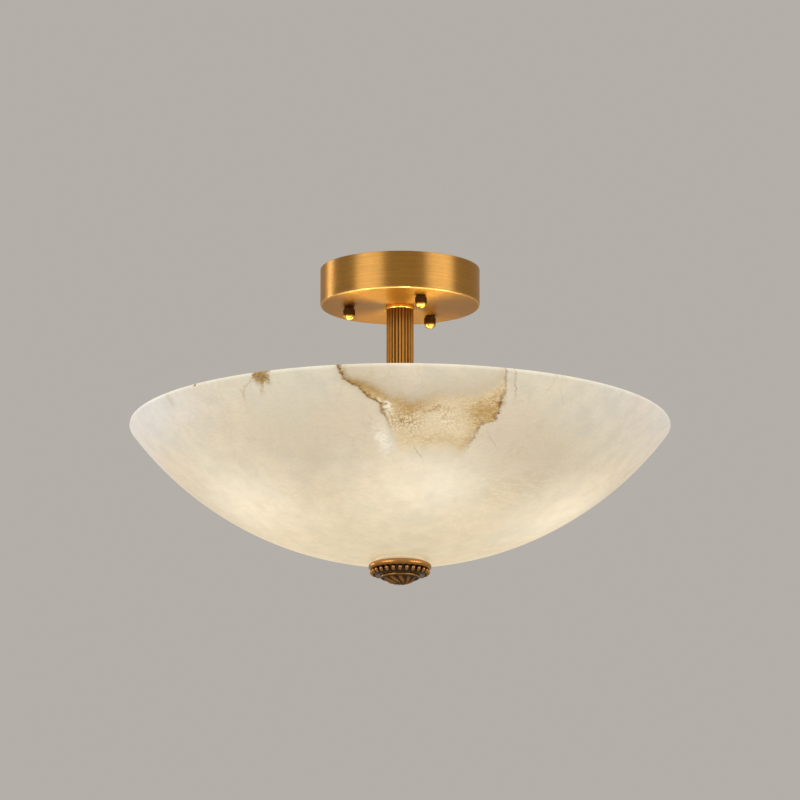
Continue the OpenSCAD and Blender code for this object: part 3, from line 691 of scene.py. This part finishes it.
def eased(name, node, width):
    """A brass copy of a CAD node with its edges broken, which stands for it."""
    piece = bpy.data.objects.new(name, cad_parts[node].data.copy())
    bpy.context.scene.collection.objects.link(piece)
    mesh = bmesh.new()
    mesh.from_mesh(piece.data)
    bmesh.ops.remove_doubles(mesh, verts=mesh.verts, dist=1e-6)
    bmesh.ops.dissolve_limit(mesh, angle_limit=math.radians(1), verts=mesh.verts, edges=mesh.edges)
    mesh.to_mesh(piece.data)
    mesh.free()
    piece.data.materials.clear()
    piece.data.materials.append(satin_brass.material)
    edge = piece.modifiers.new("edge", "BEVEL")
    edge.width, edge.segments, edge.limit_method = width / 1000, 2, "ANGLE"
    edge.angle_limit = math.radians(40)
    depsgraph = bpy.context.evaluated_depsgraph_get()
    broken = bpy.data.meshes.new_from_object(piece.evaluated_get(depsgraph), depsgraph=depsgraph)
    piece.modifiers.remove(edge)
    piece.data = broken
    piece.data.shade_smooth()
    piece.data.set_sharp_from_angle(angle=math.radians(32))
    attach(piece, "fixture")
    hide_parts(node)


eased("hub_box", "hub_body", 0.5)
eased("hub_lid", "hub_cover", 0.4)
pipe_nut("hub_lock_hex", hub_low - pipe_nut_h, "hub_lock_nut")
dress(block_plastic, "junction_block")

# ---- Lamp arms and cups
# Five drawn brass tubes, threaded at both ends and locked by two nuts at the hub, each ending in
# a spun brass cup that holds a lampholder.

cup_back_r, cup_r, cup_len, cup_wall = 62.0, 13.0, 27.0, 1.2
boss_r, boss_len, arm_r, arm_depth, lead_hole_r = 7.0, 8.0, 4.05, 6.0, 2.6

copies = Rule("copies_about_the_axis", "count", "first turn", "finish")
copies.end(copies.turned_copies(copies.piece, copies.entry("count"), copies.entry("first turn")))


def outward(piece):
    """Lays a turned piece down at the lamps' height: what pointed up points away from the axis."""
    lay = Matrix.Rotation(math.pi / 2, 4, "Y")
    piece.data.transform(Matrix.Translation((0, 0, lamp_drop / 1000)) @ lay)
    return piece


def lamp_ring(piece, finish, slot, *nodes):
    """Repeats a piece at each lamp and lets it stand for the lamps' nodes."""
    copies.grow(piece, count=lamps, first_turn=math.radians(lamp_turn), finish=finish.material)
    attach(piece, "fixture")
    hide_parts(*nodes)


dress(satin_brass, *[f"lamp_arm_{n}" for n in range(1, lamps + 1)])
cup_mouth = cup_back_r + cup_len
cups = outward(turned("lamp_cups", rounded([
    (arm_r, cup_back_r, 0.2), (cup_r, cup_back_r, 2.2), (cup_r, cup_mouth - 1.4, 0.2),
    (cup_r + 0.25, cup_mouth - 1.0, 0.3), (cup_r + 0.25, cup_mouth, 0.3),
    (cup_r - cup_wall, cup_mouth, 0.3), (cup_r - cup_wall, cup_back_r + 2, 1.2),
    (boss_r, cup_back_r + 2, 0.3), (boss_r, cup_back_r + boss_len, 0.3),
    (lead_hole_r, cup_back_r + boss_len, 0.2), (lead_hole_r, cup_back_r + arm_depth, 0),
    (arm_r, cup_back_r + arm_depth, 0)], 4), 72))
lamp_ring(cups, satin_brass, "satin_brass", *[f"lamp_cup_{n}" for n in range(1, lamps + 1)])

arm_nut_flats, arm_nut_h, arm_nut_starts = 12.0, 2.5, (17.0, 22.0)
arm_nuts = outward(joined("arm_lock_nuts", *[
    shell("arm_nut", hex_rings(arm_nut_flats, low, low + arm_nut_h, [(arm_r, low)],
                               [(arm_r, low + arm_nut_h)], 72), sharp=20) for low in arm_nut_starts]))
lamp_ring(arm_nuts, zinc, "plated_steel", "arm_nuts")

# ---- Lampholders and bulbs
# Glazed ceramic two-pin holders, and in each a push-in bulb: a ceramic base with two pins and a
# frosted glass envelope that glows. A lamp in the bowl's mouth gives the light they send upwards.

porcelain = moulded("glazed_porcelain", (0.80, 0.78, 0.72), 0.22, 3.0, 0.015)
dress(porcelain, *[f"lampholder_{n}" for n in range(1, lamps + 1)])

frosted = Finish("frosted_glass", Emission_Strength=24.0, Coat_Weight=0.3)
# The glass glows from its neck on, and less at its tip.
bulb_reach = frosted.radius()
core = frosted.rise(bulb_reach, 100.0, 108.0) * (1.0 - 0.6 * frosted.rise(bulb_reach, 128.0, 141.0))
mottle = frosted.noise(frosted.place(), 1.5, 3)
frosted.feed("Base Color", frosted.mix(mottle, (0.74, 0.72, 0.66), (0.84, 0.82, 0.77)))
frosted.feed("Roughness", 0.35 + 0.15 * mottle)
frosted.feed("Emission Color", frosted.mix(core, (0.62, 0.40, 0.18), (1.0, 0.80, 0.50)))
frosted.feed("Normal", frosted.bump(mottle, 0.03, 0.4))
pin_steel = drilled("pin_steel", (0.62, 0.61, 0.58))

bulb_back_r, bulb_base_len, bulb_base_r = 91.5, 9.0, 7.5
bulb_glass_r, bulb_tip_r = 8.0, 141.5
pin_gap, pin_r, pin_end_r = 9.0, 0.75, 79.0
glass_from = bulb_back_r + bulb_base_len
dome_from = bulb_tip_r - bulb_glass_r
for number in range(1, lamps + 1):
    to_lamp = Matrix.Rotation(math.radians(lamp_turn + (number - 1) * 360 / lamps), 4, "Z")
    base = turned(f"bulb_{number}_base", rounded([
        (0.001, bulb_back_r, 0), (bulb_base_r, bulb_back_r, 0.8), (bulb_base_r, glass_from - 0.6, 0.3),
        (bulb_base_r - 0.5, glass_from, 0.2), (0.001, glass_from, 0)], 4), 64, closed=False)
    dome = [(bulb_glass_r * math.cos(a), dome_from + bulb_glass_r * math.sin(a))
            for a in (k * math.pi / 24 for k in range(12))]
    glass = turned(f"bulb_{number}_glass", [
        (0.0001, glass_from - 0.5), (bulb_base_r - 0.7, glass_from - 0.5),
        (bulb_base_r - 0.6, glass_from + 0.4), (bulb_glass_r - 0.5, glass_from + 1.4),
        (bulb_glass_r - 0.1, glass_from + 2.6), (bulb_glass_r, glass_from + 4.0), *dome,
        (0.0001, bulb_tip_r)], 64, closed=False)
    pins = []
    for side in (-1, 1):
        pin = turned("pin", rounded([
            (0.0001, pin_end_r, 0), (pin_r, pin_end_r, 0.3), (pin_r, bulb_back_r + 1, 0),
            (0.0001, bulb_back_r + 1, 0)], 3), 20, closed=False)
        pin.data.transform(Matrix.Translation((0, side * pin_gap / 2000, 0)))
        pins.append(pin)
    pins = joined(f"bulb_{number}_pins", *pins)
    for piece, finish, slot in ((base, porcelain, "porcelain"), (glass, frosted, "bulb_glass"),
                                (pins, pin_steel, "plated_steel")):
        outward(piece).data.transform(to_lamp)
        piece.data.materials.append(finish.material)
        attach(piece, f"bulb_{number}")
    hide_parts(f"bulb_{number}")

mouth_z, mouth_width = -146.0, 280.0
mouth_glow = bpy.data.lights.new("mouth_glow", "AREA")
mouth_glow.shape, mouth_glow.size, mouth_glow.energy = "DISK", mouth_width / 1000, 0.30
mouth_glow.color = (1.0, 0.94, 0.56)
mouth = bpy.data.objects.new("mouth_glow", mouth_glow)
mouth.location, mouth.rotation_euler = (0, 0, mouth_z / 1000), (math.pi, 0, 0)
mouth.visible_camera = False
bpy.context.scene.collection.objects.link(mouth)

# ---- Bowl
# A shallow bowl turned from one block of alabaster, 10 mm thick, with a rounded rim and a hole in
# its flat bottom for the pipe. It is veined and stained with clay, and a painted glow stands in for
# the bulbs' light through it.

bowl_top = -147.0
bowl_centre_z = 34.26
bowl_outer_r, bowl_inner_r = 310.76, 300.76
bowl_flat_r, bowl_hole_r = 24.0, 6.0
rim_round = 2.5
rim_outer_r, rim_inner_r = 247.5, 241.24


def arc(middle_r, middle_z, radius, first, last, steps):
    """Points of (r, z) on an arc between two angles in degrees."""
    turns = np.radians(np.linspace(first, last, steps + 1))
    return [(middle_r + radius * math.cos(t), middle_z + radius * math.sin(t)) for t in turns]


def dip(radius, at_r):
    """The angle at which the bowl's sphere of that radius is at_r from the axis."""
    return -math.degrees(math.acos(at_r / radius))


rim_z = bowl_top - rim_round
outer_rim = math.degrees(math.atan2(rim_z - bowl_centre_z, rim_outer_r))
inner_rim = math.degrees(math.atan2(rim_z - bowl_centre_z, rim_inner_r))
bowl_outline = arc(0, bowl_centre_z, bowl_outer_r, dip(bowl_outer_r, bowl_flat_r), outer_rim, 64)[:-1]
bowl_outline += arc(rim_outer_r, rim_z, rim_round, outer_rim, 90, 10)
bowl_outline += arc(rim_inner_r, rim_z, rim_round, 90, 180 + inner_rim, 6)
bowl_outline += arc(0, bowl_centre_z, bowl_inner_r, inner_rim, dip(bowl_inner_r, bowl_flat_r), 60)[1:]
outer_flat = bowl_outline[0][1]
inner_flat = bowl_outline[-1][1]
bowl_outline += [(bowl_hole_r + 0.5, inner_flat), (bowl_hole_r, inner_flat - 0.5),
                 (bowl_hole_r, outer_flat + 0.5), (bowl_hole_r + 0.5, outer_flat)]
bowl = turned("alabaster_bowl", bowl_outline, 256)

stone = Finish("alabaster", Emission_Strength=0.945, Specular_IOR_Level=0.4)
rise, bell, mix = stone.rise, stone.bell, stone.mix
at = stone.place()
x, y, z = stone.parts(at)
reach = (x * x + y * y) ** 0.5
# A degree's length here, the angle round from the front, the depth below the rim, and both of
# these wandering, so that no stain or vein has a ruled edge.
degree = reach * (math.pi / 180)
turn = stone.math("ARCTAN2", x, -y) * (180 / math.pi)
depth = bowl_top - z
drift = stone.noise(at, 13.0, 4, 0.6) - 0.5
shake = stone.noise(at, 3.6, 3, 0.65) - 0.5
jag = stone.noise(at, 1.7, 2, 0.6) - 0.5
turn_here = turn + 2.4 * drift + 1.7 * shake + 0.9 * jag
depth_here = depth + 10.0 * drift + 6.0 * shake
cloud = stone.noise(at, 70.0, 3, 0.5)
bloom = stone.noise(at, 19.0, 5, 0.62)
fibre = stone.noise(stone.place(scale=(1, 1, 3.2)), 4.5, 5, 0.68, 0.6)
grain = stone.noise(at, 1.5, 4, 0.7)


def follow(value, points, low, high, reach_of_value):
    """A value that follows a list of (place, value) points along another value."""
    places = [(a / reach_of_value, (b - low) / (high - low)) for a, b in points]
    curve = stone.node("ShaderNodeFloatCurve", {"points": places}, {"Value": value / reach_of_value})
    return curve * (high - low) + low


def beside(points):
    """How far to the right of a vein of (depth, angle) points a place is, in millimetres."""
    return (turn_here - follow(depth + 5.0 * shake, points, -70.0, 70.0, 130.0)) * degree


def spot(angle, drop, wide, high):
    """A soft patch round an angle and a depth, from its half sizes in degrees and millimetres."""
    return bell(turn_here - angle, wide) * bell(depth_here - drop, high)


def upto(value, low, high):
    return 1.0 - rise(value, low, high)


def capped(value):
    return stone.math("MINIMUM", value, 1.0)


# The two veins that frame the front's stain, a thread beside the right one, and the depth at which
# the stain's ragged upper edge lies along the angle.
seam = beside([(0, -12.9), (13, -11.7), (15.7, -10), (20.5, -8.5), (27.6, -6.5), (31.5, -4.5),
               (40.6, -3.8), (46.5, -2.7), (52.4, -2.0), (60.4, -1.1), (130, 3)])
branch = beside([(0, 22.3), (4, 22.5), (16.6, 23.1), (28, 23.2), (41.8, 23.2), (44.4, 20.3),
                 (56.3, 19.4), (61.5, 18.6), (130, 14)])
thread = beside([(0, 24.6), (6, 24.3), (14, 25.4), (22.7, 25.8), (27, 25), (130, 24)])
roof = follow(turn + 70.0, [
    (0, 14), (56, 12), (60, 13.5), (64, 19), (68, 26), (72, 31), (76, 29), (79, 25), (83, 25), (87, 23),
    (90, 18), (92, 10), (94, 0), (140, 0)], 0.0, 40.0, 140.0)
under = depth_here - roof
within = rise(seam, -1.5, 3.0) * upto(branch, -2.5, 0.8) * upto(depth_here, 58.0, 73.0)
broken = rise(fibre, 0.30, 0.62)
specks = rise(grain, 0.42, 0.68)

# Clay, the tan stain: between the two veins, beside the left one, and in a patch at the rim.
clay = within * (rise(under, -8.0, 7.0) * (0.06 + 0.24 * broken + 0.24 * specks)
                 + 0.27 * bell(under + 6.0, 9.5) * (0.35 + 0.65 * rise(bloom, 0.34, 0.58)))
clay += within * bell(under - 3.0, 5.0) * 0.26 * upto(turn_here, 4.0, 15.0)
clay += bell(seam - 1.0, 4.0) * upto(depth_here, 24.0, 44.0) * (0.16 + 0.26 * broken)
clay += (within * bell(seam - 7.5, 9.5) * upto(depth_here, 24.0, 36.0)
         * rise(depth, 9.0, 15.0) * (0.32 + 0.16 * broken))
clay += within * spot(1.5, 37.0, 4.6, 7.0) * (0.20 + 0.30 * broken + 0.25 * specks)
clay += within * spot(19.5, 36.0, 3.8, 10.0) * (0.40 + 0.40 * broken + 0.25 * specks)
clay += within * spot(9.0, 58.0, 9.0, 5.5) * (0.14 + 0.2 * broken)
clay += within * bell(branch + 5.0, 5.0) * rise(depth, 6.0, 26.0) * (0.12 + 0.3 * broken)
clay -= within * spot(10.5, 43.0, 3.6, 4.2) * 0.2
patch = rise(turn_here, -32.4, -31.0) * upto(turn_here, -28.9, -27.6) * upto(depth_here, 5.0, 13.0)
left_tail = beside([(0, -31), (5, -32), (13.4, -36.0), (25, -36), (130, -36)])
right_tail = beside([(0, -29), (8, -30), (19, -31.2), (24, -31), (130, -31)])
tails = bell(left_tail, 1.3) * upto(depth, 14, 26) + bell(right_tail, 1.8) * upto(depth, 15, 22)
clay += patch * (0.7 + 0.5 * broken) + tails * broken * 0.7
clay += bell(seam + 5.0, 5.0) * bell(depth - 15.0, 7.0) * 0.13 * (0.4 + broken)
clay += bell(turn + 57.5, 0.9) * upto(depth, 8.0, 16.0) * 0.22

# Veins, the brown lines: the seam and its branch, then threads, cracks and crumbs.
knots = rise(stone.noise(at, 4.0, 4, 0.65), 0.42, 0.62)
veins = bell(seam + 0.4, 1.5) * upto(depth, 30.0, 60.0) * (0.50 + 0.5 * broken)
veins += bell(seam - 1.0, 3.0) * upto(depth, 24.0, 46.0) * knots * 0.7
veins += bell(seam - 5.0, 0.8) * bell(depth - 34.0, 9.0) * 0.7 * broken
veins += bell(branch + 0.6, 1.6) * upto(depth, 56.0, 68.0) * (0.24 + 0.4 * broken)
veins += bell(branch + 0.6, 2.0) * knots * bell(depth - 36.0, 11.0) * 0.9
veins += bell(branch - 0.6, 3.2) * (0.35 + 0.65 * broken) * bell(depth - 28.5, 2.0)
veins += bell(thread, 0.55) * upto(depth, 18.0, 28.0) * 0.5 * (0.4 + broken)
veins += bell(beside([(0, 34.6), (18, 32.9), (130, 32)]), 0.5) * upto(depth, 12.0, 20.0) * 0.3
for path, wide, drop, dark in (
        ([(0, 20), (48, 21.5), (56, 24), (63, 27.5), (130, 30)], 0.6, 56.0, 0.28),
        ([(0, 35), (14, 36.8), (25, 39), (130, 40)], 0.5, 18.0, 0.22),
        ([(0, 0), (58, 2.4), (66, 4.2), (73, 7), (130, 9)], 0.7, 67.0, 0.35)):
    veins += bell(beside(path), wide) * bell(depth - drop, 6.0) * dark
fleck = bell(turn + 47.8, 0.36) * bell(depth - 1.6, 1.2)
veins += patch * (0.25 + 0.75 * knots) + fleck * 1.2
veins += within * spot(20.0, 35.0, 3.8, 9.0) * (0.07 + 0.24 * knots * broken)
shaken = stone.node("ShaderNodeVectorMath", {"operation": "ADD"}, {
    0: at, 1: stone.vector(3.0 * shake, 3.0 * jag, 4.0 * shake)})
crumbs = stone.node("ShaderNodeTexVoronoi", {"feature": "DISTANCE_TO_EDGE"}, {
    "Vector": shaken, "Scale": 0.27, "Randomness": 1.0})
crumbly = within * (spot(0.5, 46.0, 5.0, 7.0) + 0.7 * spot(11.5, 40.0, 4.5, 8.0))
veins += crumbly * upto(crumbs, 0.02, 0.15) * (0.15 + 0.7 * rise(bloom, 0.35, 0.55))
veins += within * bell(under - 9.0, 0.9) * bell(turn_here - 7.0, 4.0) * broken * 0.6
chips = within * bell(seam - 5.5, 3.2) * bell(depth - 34.0, 7.0) * (1.0 - knots) * 1.4

# The back, which isn't seen in front: one long vein with clay bedded on one side of it.
away = rise(y, 82.0, 110.0)
ridge = stone.noise(at, 120.0, 2, 0.45, 0.4) + 0.10 * drift + 0.03 * shake - 0.5
veins += away * bell(ridge / (0.006 + 0.008 * knots), 1.0) * (0.2 + 0.6 * broken)
bedded = rise(ridge, -0.004, 0.004) * upto(ridge, 0.0, 0.075) * rise(cloud, 0.40, 0.60)
clay += away * (bedded * (0.1 + 0.5 * broken + 0.2 * specks) + 0.3 * bell(ridge, 0.02))

# The stone's own tone, cloudy and misty, with the clay and the veins laid over it.
hairs = bell(stone.noise(at, 34.0, 5, 0.6, 0.5) - 0.5, 0.010) * rise(cloud, 0.40, 0.60)
wisps = stone.noise(stone.place(scale=(0.25, 0.25, 1.6), shift=(4, 9, 2)), 10.0, 4, 0.6, 0.4)
wisps = bell(wisps - 0.5, 0.035) * bell(turn - 42.0, 17.0) * bell(depth - 84.0, 17.0)
mist = rise(bloom, 0.40, 0.60) * (
    0.22 + 0.8 * spot(-28.0, 42.0, 15.0, 24.0) + 0.8 * spot(36.0, 56.0, 15.0, 22.0))
mist += 0.5 * spot(-24.0, 66.0, 5.0, 7.0) + 0.4 * spot(45.0, 60.0, 6.0, 8.0)
tone = mix(rise(cloud, 0.3, 0.7), (0.95, 0.98, 0.97), (1.0, 0.97, 0.92))
blotches = mix(rise(bloom, 0.33, 0.67), (0.915, 0.92, 0.915), (1.07, 1.06, 1.04))
tone = mix(1.0, tone, blotches, "MULTIPLY")
tone = mix(0.55 * capped(mist), tone, (0.80, 0.805, 0.74))
tone = mix(0.24 * upto(fibre, 0.32, 0.6), tone, (0.70, 0.70, 0.63))
tone = mix(0.25 * grain, tone, (0.92, 0.91, 0.87))
tone = mix(0.6 * wisps, tone, (0.80, 0.76, 0.66))
tone = mix(0.28 * hairs, tone, (0.72, 0.68, 0.58))
stained = mix(capped(clay), tone, (0.545, 0.405, 0.205))
stained = mix(capped(chips), stained, tone)
lined = mix(capped(veins), stained, (0.33, 0.19, 0.055))

# A painted glow stands in for the bulbs' light through the stone. It is brightest where each bulb
# comes nearest, and warmer and brighter towards the bottom.
first_lamp, half_way = lamp_turn + 90.0, 180.0 / lamps
lamp_step = stone.math("PINGPONG", turn - (first_lamp + half_way), half_way)
lamp_side = (half_way - lamp_step) * degree
# Painted hot spots of glow in front of each bulb.
hot = bell(lamp_side, 66.0) * bell(reach - 148.0, 46.0)
# A painted brighter glow in a patch beside the seam.
glow_patch = bell(seam + 10.0, 7.0) * bell(depth_here - 59.0, 9.0) * rise(fibre, 0.25, 0.66)
# Painted light from the studio side: the glow is lighter and pinker on the left, greyer and darker on
# the right.
edge_glow = mix(rise(x, -80.0, 80.0), (0.50, 0.46, 0.445), (0.43, 0.38, 0.335))
glow = mix(rise(abs(turn), 30.0, 70.0), (0.472, 0.408, 0.298), edge_glow)
left_glow = mix(upto(x, -140.0, 20.0), (0.45, 0.357, 0.24), (0.49, 0.395, 0.27))
glow = mix(rise(depth, 0.0, 60.0), glow, left_glow)
glow = mix(rise(depth, 60.0, 122.0), glow, (0.62, 0.50, 0.325))
glow = mix(hot, glow, (0.77, 0.665, 0.495))
glow = mix(within * rise(under, -4.0, 8.0), glow, (0.70, 0.575, 0.37))
# Painted brighter glow over the patch and the chips, and a painted highlight along the rim's top.
glow = mix(glow_patch + 0.9 * chips + 0.3 * upto(depth, 0.8, 2.6), glow, (0.80, 0.74, 0.62))
stone.feed("Base Color", mix(1.0, lined, (0.52, 0.50, 0.47), "MULTIPLY"))
# The inner face gets half the painted glow; the bulbs light it themselves.
from_centre = (reach * reach + (z - bowl_centre_z) ** 2.0) ** 0.5
inside = upto(from_centre, bowl_inner_r + 2.0, bowl_outer_r - 2.0)
glow = mix(0.5 * inside, glow, (0.0, 0.0, 0.0))
stone.feed("Emission Color", mix(1.0, lined, glow, "MULTIPLY"))
stone.feed("Roughness", 0.38 + 0.12 * fibre + 0.10 * clay)
stone.feed("Normal", stone.bump(0.6 * fibre + 0.4 * grain - 0.6 * veins, 0.10, 0.4))
bowl.data.materials.append(stone.material)
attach(bowl, "bowl_set")
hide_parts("bowl")

# ---- Bowl nut, washer and gaskets
# A nut and a plain washer on the pipe sit above the bowl. Milky silicone rings above and below its
# flat bottom keep metal off the stone; a faint painted glow stands in for the bowl's light through
# them.

gasket_r, gasket_t, washer_r, washer_t = 22.0, 3.0, 20.0, 2.0
# The rings' emission is a faint painted glow.
silicone = moulded("silicone", (0.62, 0.58, 0.50), 0.55, 1.5, 0.02,
                   Emission_Color=(0.52, 0.42, 0.275, 1.0), Emission_Strength=0.6)


def flat_ring(name, r, low, high, edge, finish, body, node):
    ring = turned(name, rounded([(bowl_hole_r, low, edge), (r, low, edge), (r, high, edge),
                                 (bowl_hole_r, high, edge)], 3), 96)
    ring.data.materials.append(finish.material)
    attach(ring, body)
    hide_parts(node)


washer_low = inner_flat + gasket_t
flat_ring("gasket_above", gasket_r, inner_flat, washer_low, 0.6, silicone,
          "bowl_set", "bowl_top_gasket")
flat_ring("gasket_below", gasket_r, outer_flat - gasket_t, outer_flat, 0.6, silicone,
          "bowl_set", "bowl_bottom_gasket")
flat_ring("washer_above", washer_r, washer_low, washer_low + washer_t, 0.25, zinc,
          "fixture", "bowl_top_washer")
pipe_nut("bowl_nut_hex", washer_low + washer_t, "bowl_top_nut")

# ---- Finial
# A cast brass ornament screwed on the pipe's end to hold the bowl: a smooth band, a row of egg
# beads in a dark cove, a plain ring and a low dome worked with swirling leaves.

seat_z = outer_flat - gasket_t
band_r, band_top, band_low = 29.0, seat_z - 0.5, seat_z - 5.6
bead_count, bead_r_at, bead_z = 26, 25.5, seat_z - 8.5
bead_lean = math.radians(33)
ring_foot_r, ring_z = 18.1, seat_z - 12.6
dome_base_r, dome_low = 17.0, seat_z - 19.85
dome_h = 6.6
dome_base_z = dome_low + dome_h
dome_sphere_r = (dome_base_r ** 2 + dome_h ** 2) / (2 * dome_h)
blind_r, blind_z = 5.05, seat_z - 13.2
leaf_count, leaf_swirl, relief = 11, 1.35, 1.25


def smooth(value, low, high):
    t = np.clip((value - low) / (high - low), 0, 1)
    return t * t * (3 - 2 * t)


def leaf_height(r, turn):
    """The dome's relief from 0 in its hollows to 1 on its crests: a button, a ring of small petals
    and swirled leaves with a cut rib and ribbed sides."""
    s = r / dome_base_r
    u = (leaf_count * (turn + leaf_swirl * s * (1.2 - 0.4 * s)) / math.tau + 0.5) % 1 - 0.5
    span = np.clip((s - 0.20) / 0.78, 0, 1)
    half = 0.47 * np.sin(math.pi * span ** 0.8) ** 0.55 + 0.01
    across = np.abs(u) / half
    body = np.sqrt(np.clip(1 - across ** 2, 0, 1)) * (0.75 + 0.25 * np.sin(math.pi * span))
    ribs = (0.5 + 0.5 * np.cos(math.tau * (s * 7.5 - 1.9 * across))) * smooth(across, 0.12, 0.4)
    body = body - 0.42 * ribs * (body > 0) - 0.42 * np.exp(-(u / 0.035) ** 2)
    petals = 0.55 * np.abs(np.cos(leaf_count * turn / 2 + 0.4))
    petals = petals * smooth(s, 0.12, 0.15) * (1 - smooth(s, 0.21, 0.26))
    button = 0.95 * np.sqrt(np.clip(1 - (s / 0.125) ** 2, 0, 1))
    return np.clip(np.maximum.reduce([body, petals, button]), 0, 1)


band_middle, band_half = (band_top + band_low) / 2, (band_top - band_low) / 2
band = [(band_r - 1.5 * abs(math.sin(t)) ** 3.2, band_middle - band_half * math.sin(t))
        for t in np.radians(np.linspace(-88, 88, 17))]
casting = turned("finial_body", [
    (0.0001, blind_z), (blind_r, blind_z), (blind_r, seat_z - 0.4), (blind_r + 0.4, seat_z),
    (26.3, seat_z), (27.0, band_top), *band, (band_r - 2.4, band_low - 0.1), (26.2, band_low - 0.5),
    (25.0, bead_z + 2.0), (24.1, bead_z), (23.2, bead_z - 2.0), (22.0, bead_z - 3.1),
    (20.6, ring_z + 0.75), *arc(ring_foot_r - 1.7, ring_z + 0.2, 1.9, 80, -72, 14),
    (dome_base_r + 0.2, ring_z - 1.3), (dome_base_r - 0.2, dome_base_z + 0.1),
    (0.0001, dome_base_z + 0.1)], 208, closed=False)

bead_wide, bead_thick, bead_long = 2.1, 1.95, 2.55
egg = []
for down in np.linspace(0.001, math.pi - 0.001, 15):
    swell = math.sin(down) * (1 + 0.1 * math.cos(down))
    egg.append([(bead_wide * swell * math.cos(t), bead_thick * swell * math.sin(t),
                 bead_long * math.cos(down)) for t in np.linspace(0, math.tau, 20, endpoint=False)])
bead = shell("bead", egg, closed=False)
lean = Matrix.Rotation(bead_lean, 4, "Y")
bead.data.transform(Matrix.Translation((bead_r_at / 1000, 0, bead_z / 1000)) @ lean)
turns = np.linspace(0, math.tau, 324, endpoint=False)
rows = []
for r in [0.0001, *np.linspace(0.25, dome_base_r, 66)]:
    out = np.array([r, -math.sqrt(dome_sphere_r ** 2 - r * r)]) / dome_sphere_r
    sunk = relief * (leaf_height(np.full(len(turns), r), turns) - 1)
    flat_r = r + out[0] * sunk
    rows.append(np.stack([flat_r * np.cos(turns), flat_r * np.sin(turns),
                          dome_low + dome_sphere_r + out[1] * (dome_sphere_r + sunk)], 1))
rows += [np.stack([r * np.cos(turns), r * np.sin(turns), dome_base_z + 0.6 + 0 * turns], 1)
         for r in (dome_base_r, 0.0001)]
dome = shell("finial_dome", rows, closed=False, sharp=50)


def hollow_depth(point):
    """0 on the casting's crests and 1 deep in its hollows, at a point in millimetres; on the band
    it is up to 0.7, darker towards the band's top edge.
    """
    x, y, z = point
    r = math.hypot(x, y)
    if z > band_low - 0.05:
        # The band is darker along its top edge, next to the gasket.
        return 0.7 * float(smooth(z, band_top - 0.5, band_top + 0.1))
    if z > ring_z + 2.15 or r > 19.4:
        crest = (r - bead_r_at) * math.cos(bead_lean) - (z - bead_z) * math.sin(bead_lean)
        return 1 - float(smooth(crest, -0.2, 1.35))
    if r > dome_base_r + 0.1:
        return 1 - float(smooth(z, ring_z - 1.3, ring_z - 0.5))
    return 1 - float(smooth(leaf_height(np.array([r]), math.atan2(y, x))[0], 0.3, 0.95))


finial_brass = antique_brass(
    "finial_brass", (0.58, 0.265, 0.055), 0.32,
    lambda f: f.node("ShaderNodeAttribute", {"attribute_name": "hollow"}, out="Fac"), 0.6)
copies.grow(bead, count=bead_count, first_turn=math.pi / bead_count, finish=finial_brass.material)
finial = joined("finial_casting", casting, bead, dome)
finial.data.materials.clear()
finial.data.materials.append(finial_brass.material)
hollow = finial.data.attributes.new("hollow", "FLOAT", "POINT")
hollow.data.foreach_set("value", [hollow_depth(v.co * 1000) for v in finial.data.vertices])
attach(finial, "finial")
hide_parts("finial")

# ---- Picture
# Plain colour handling.

bpy.context.scene.view_settings.view_transform = "Standard"
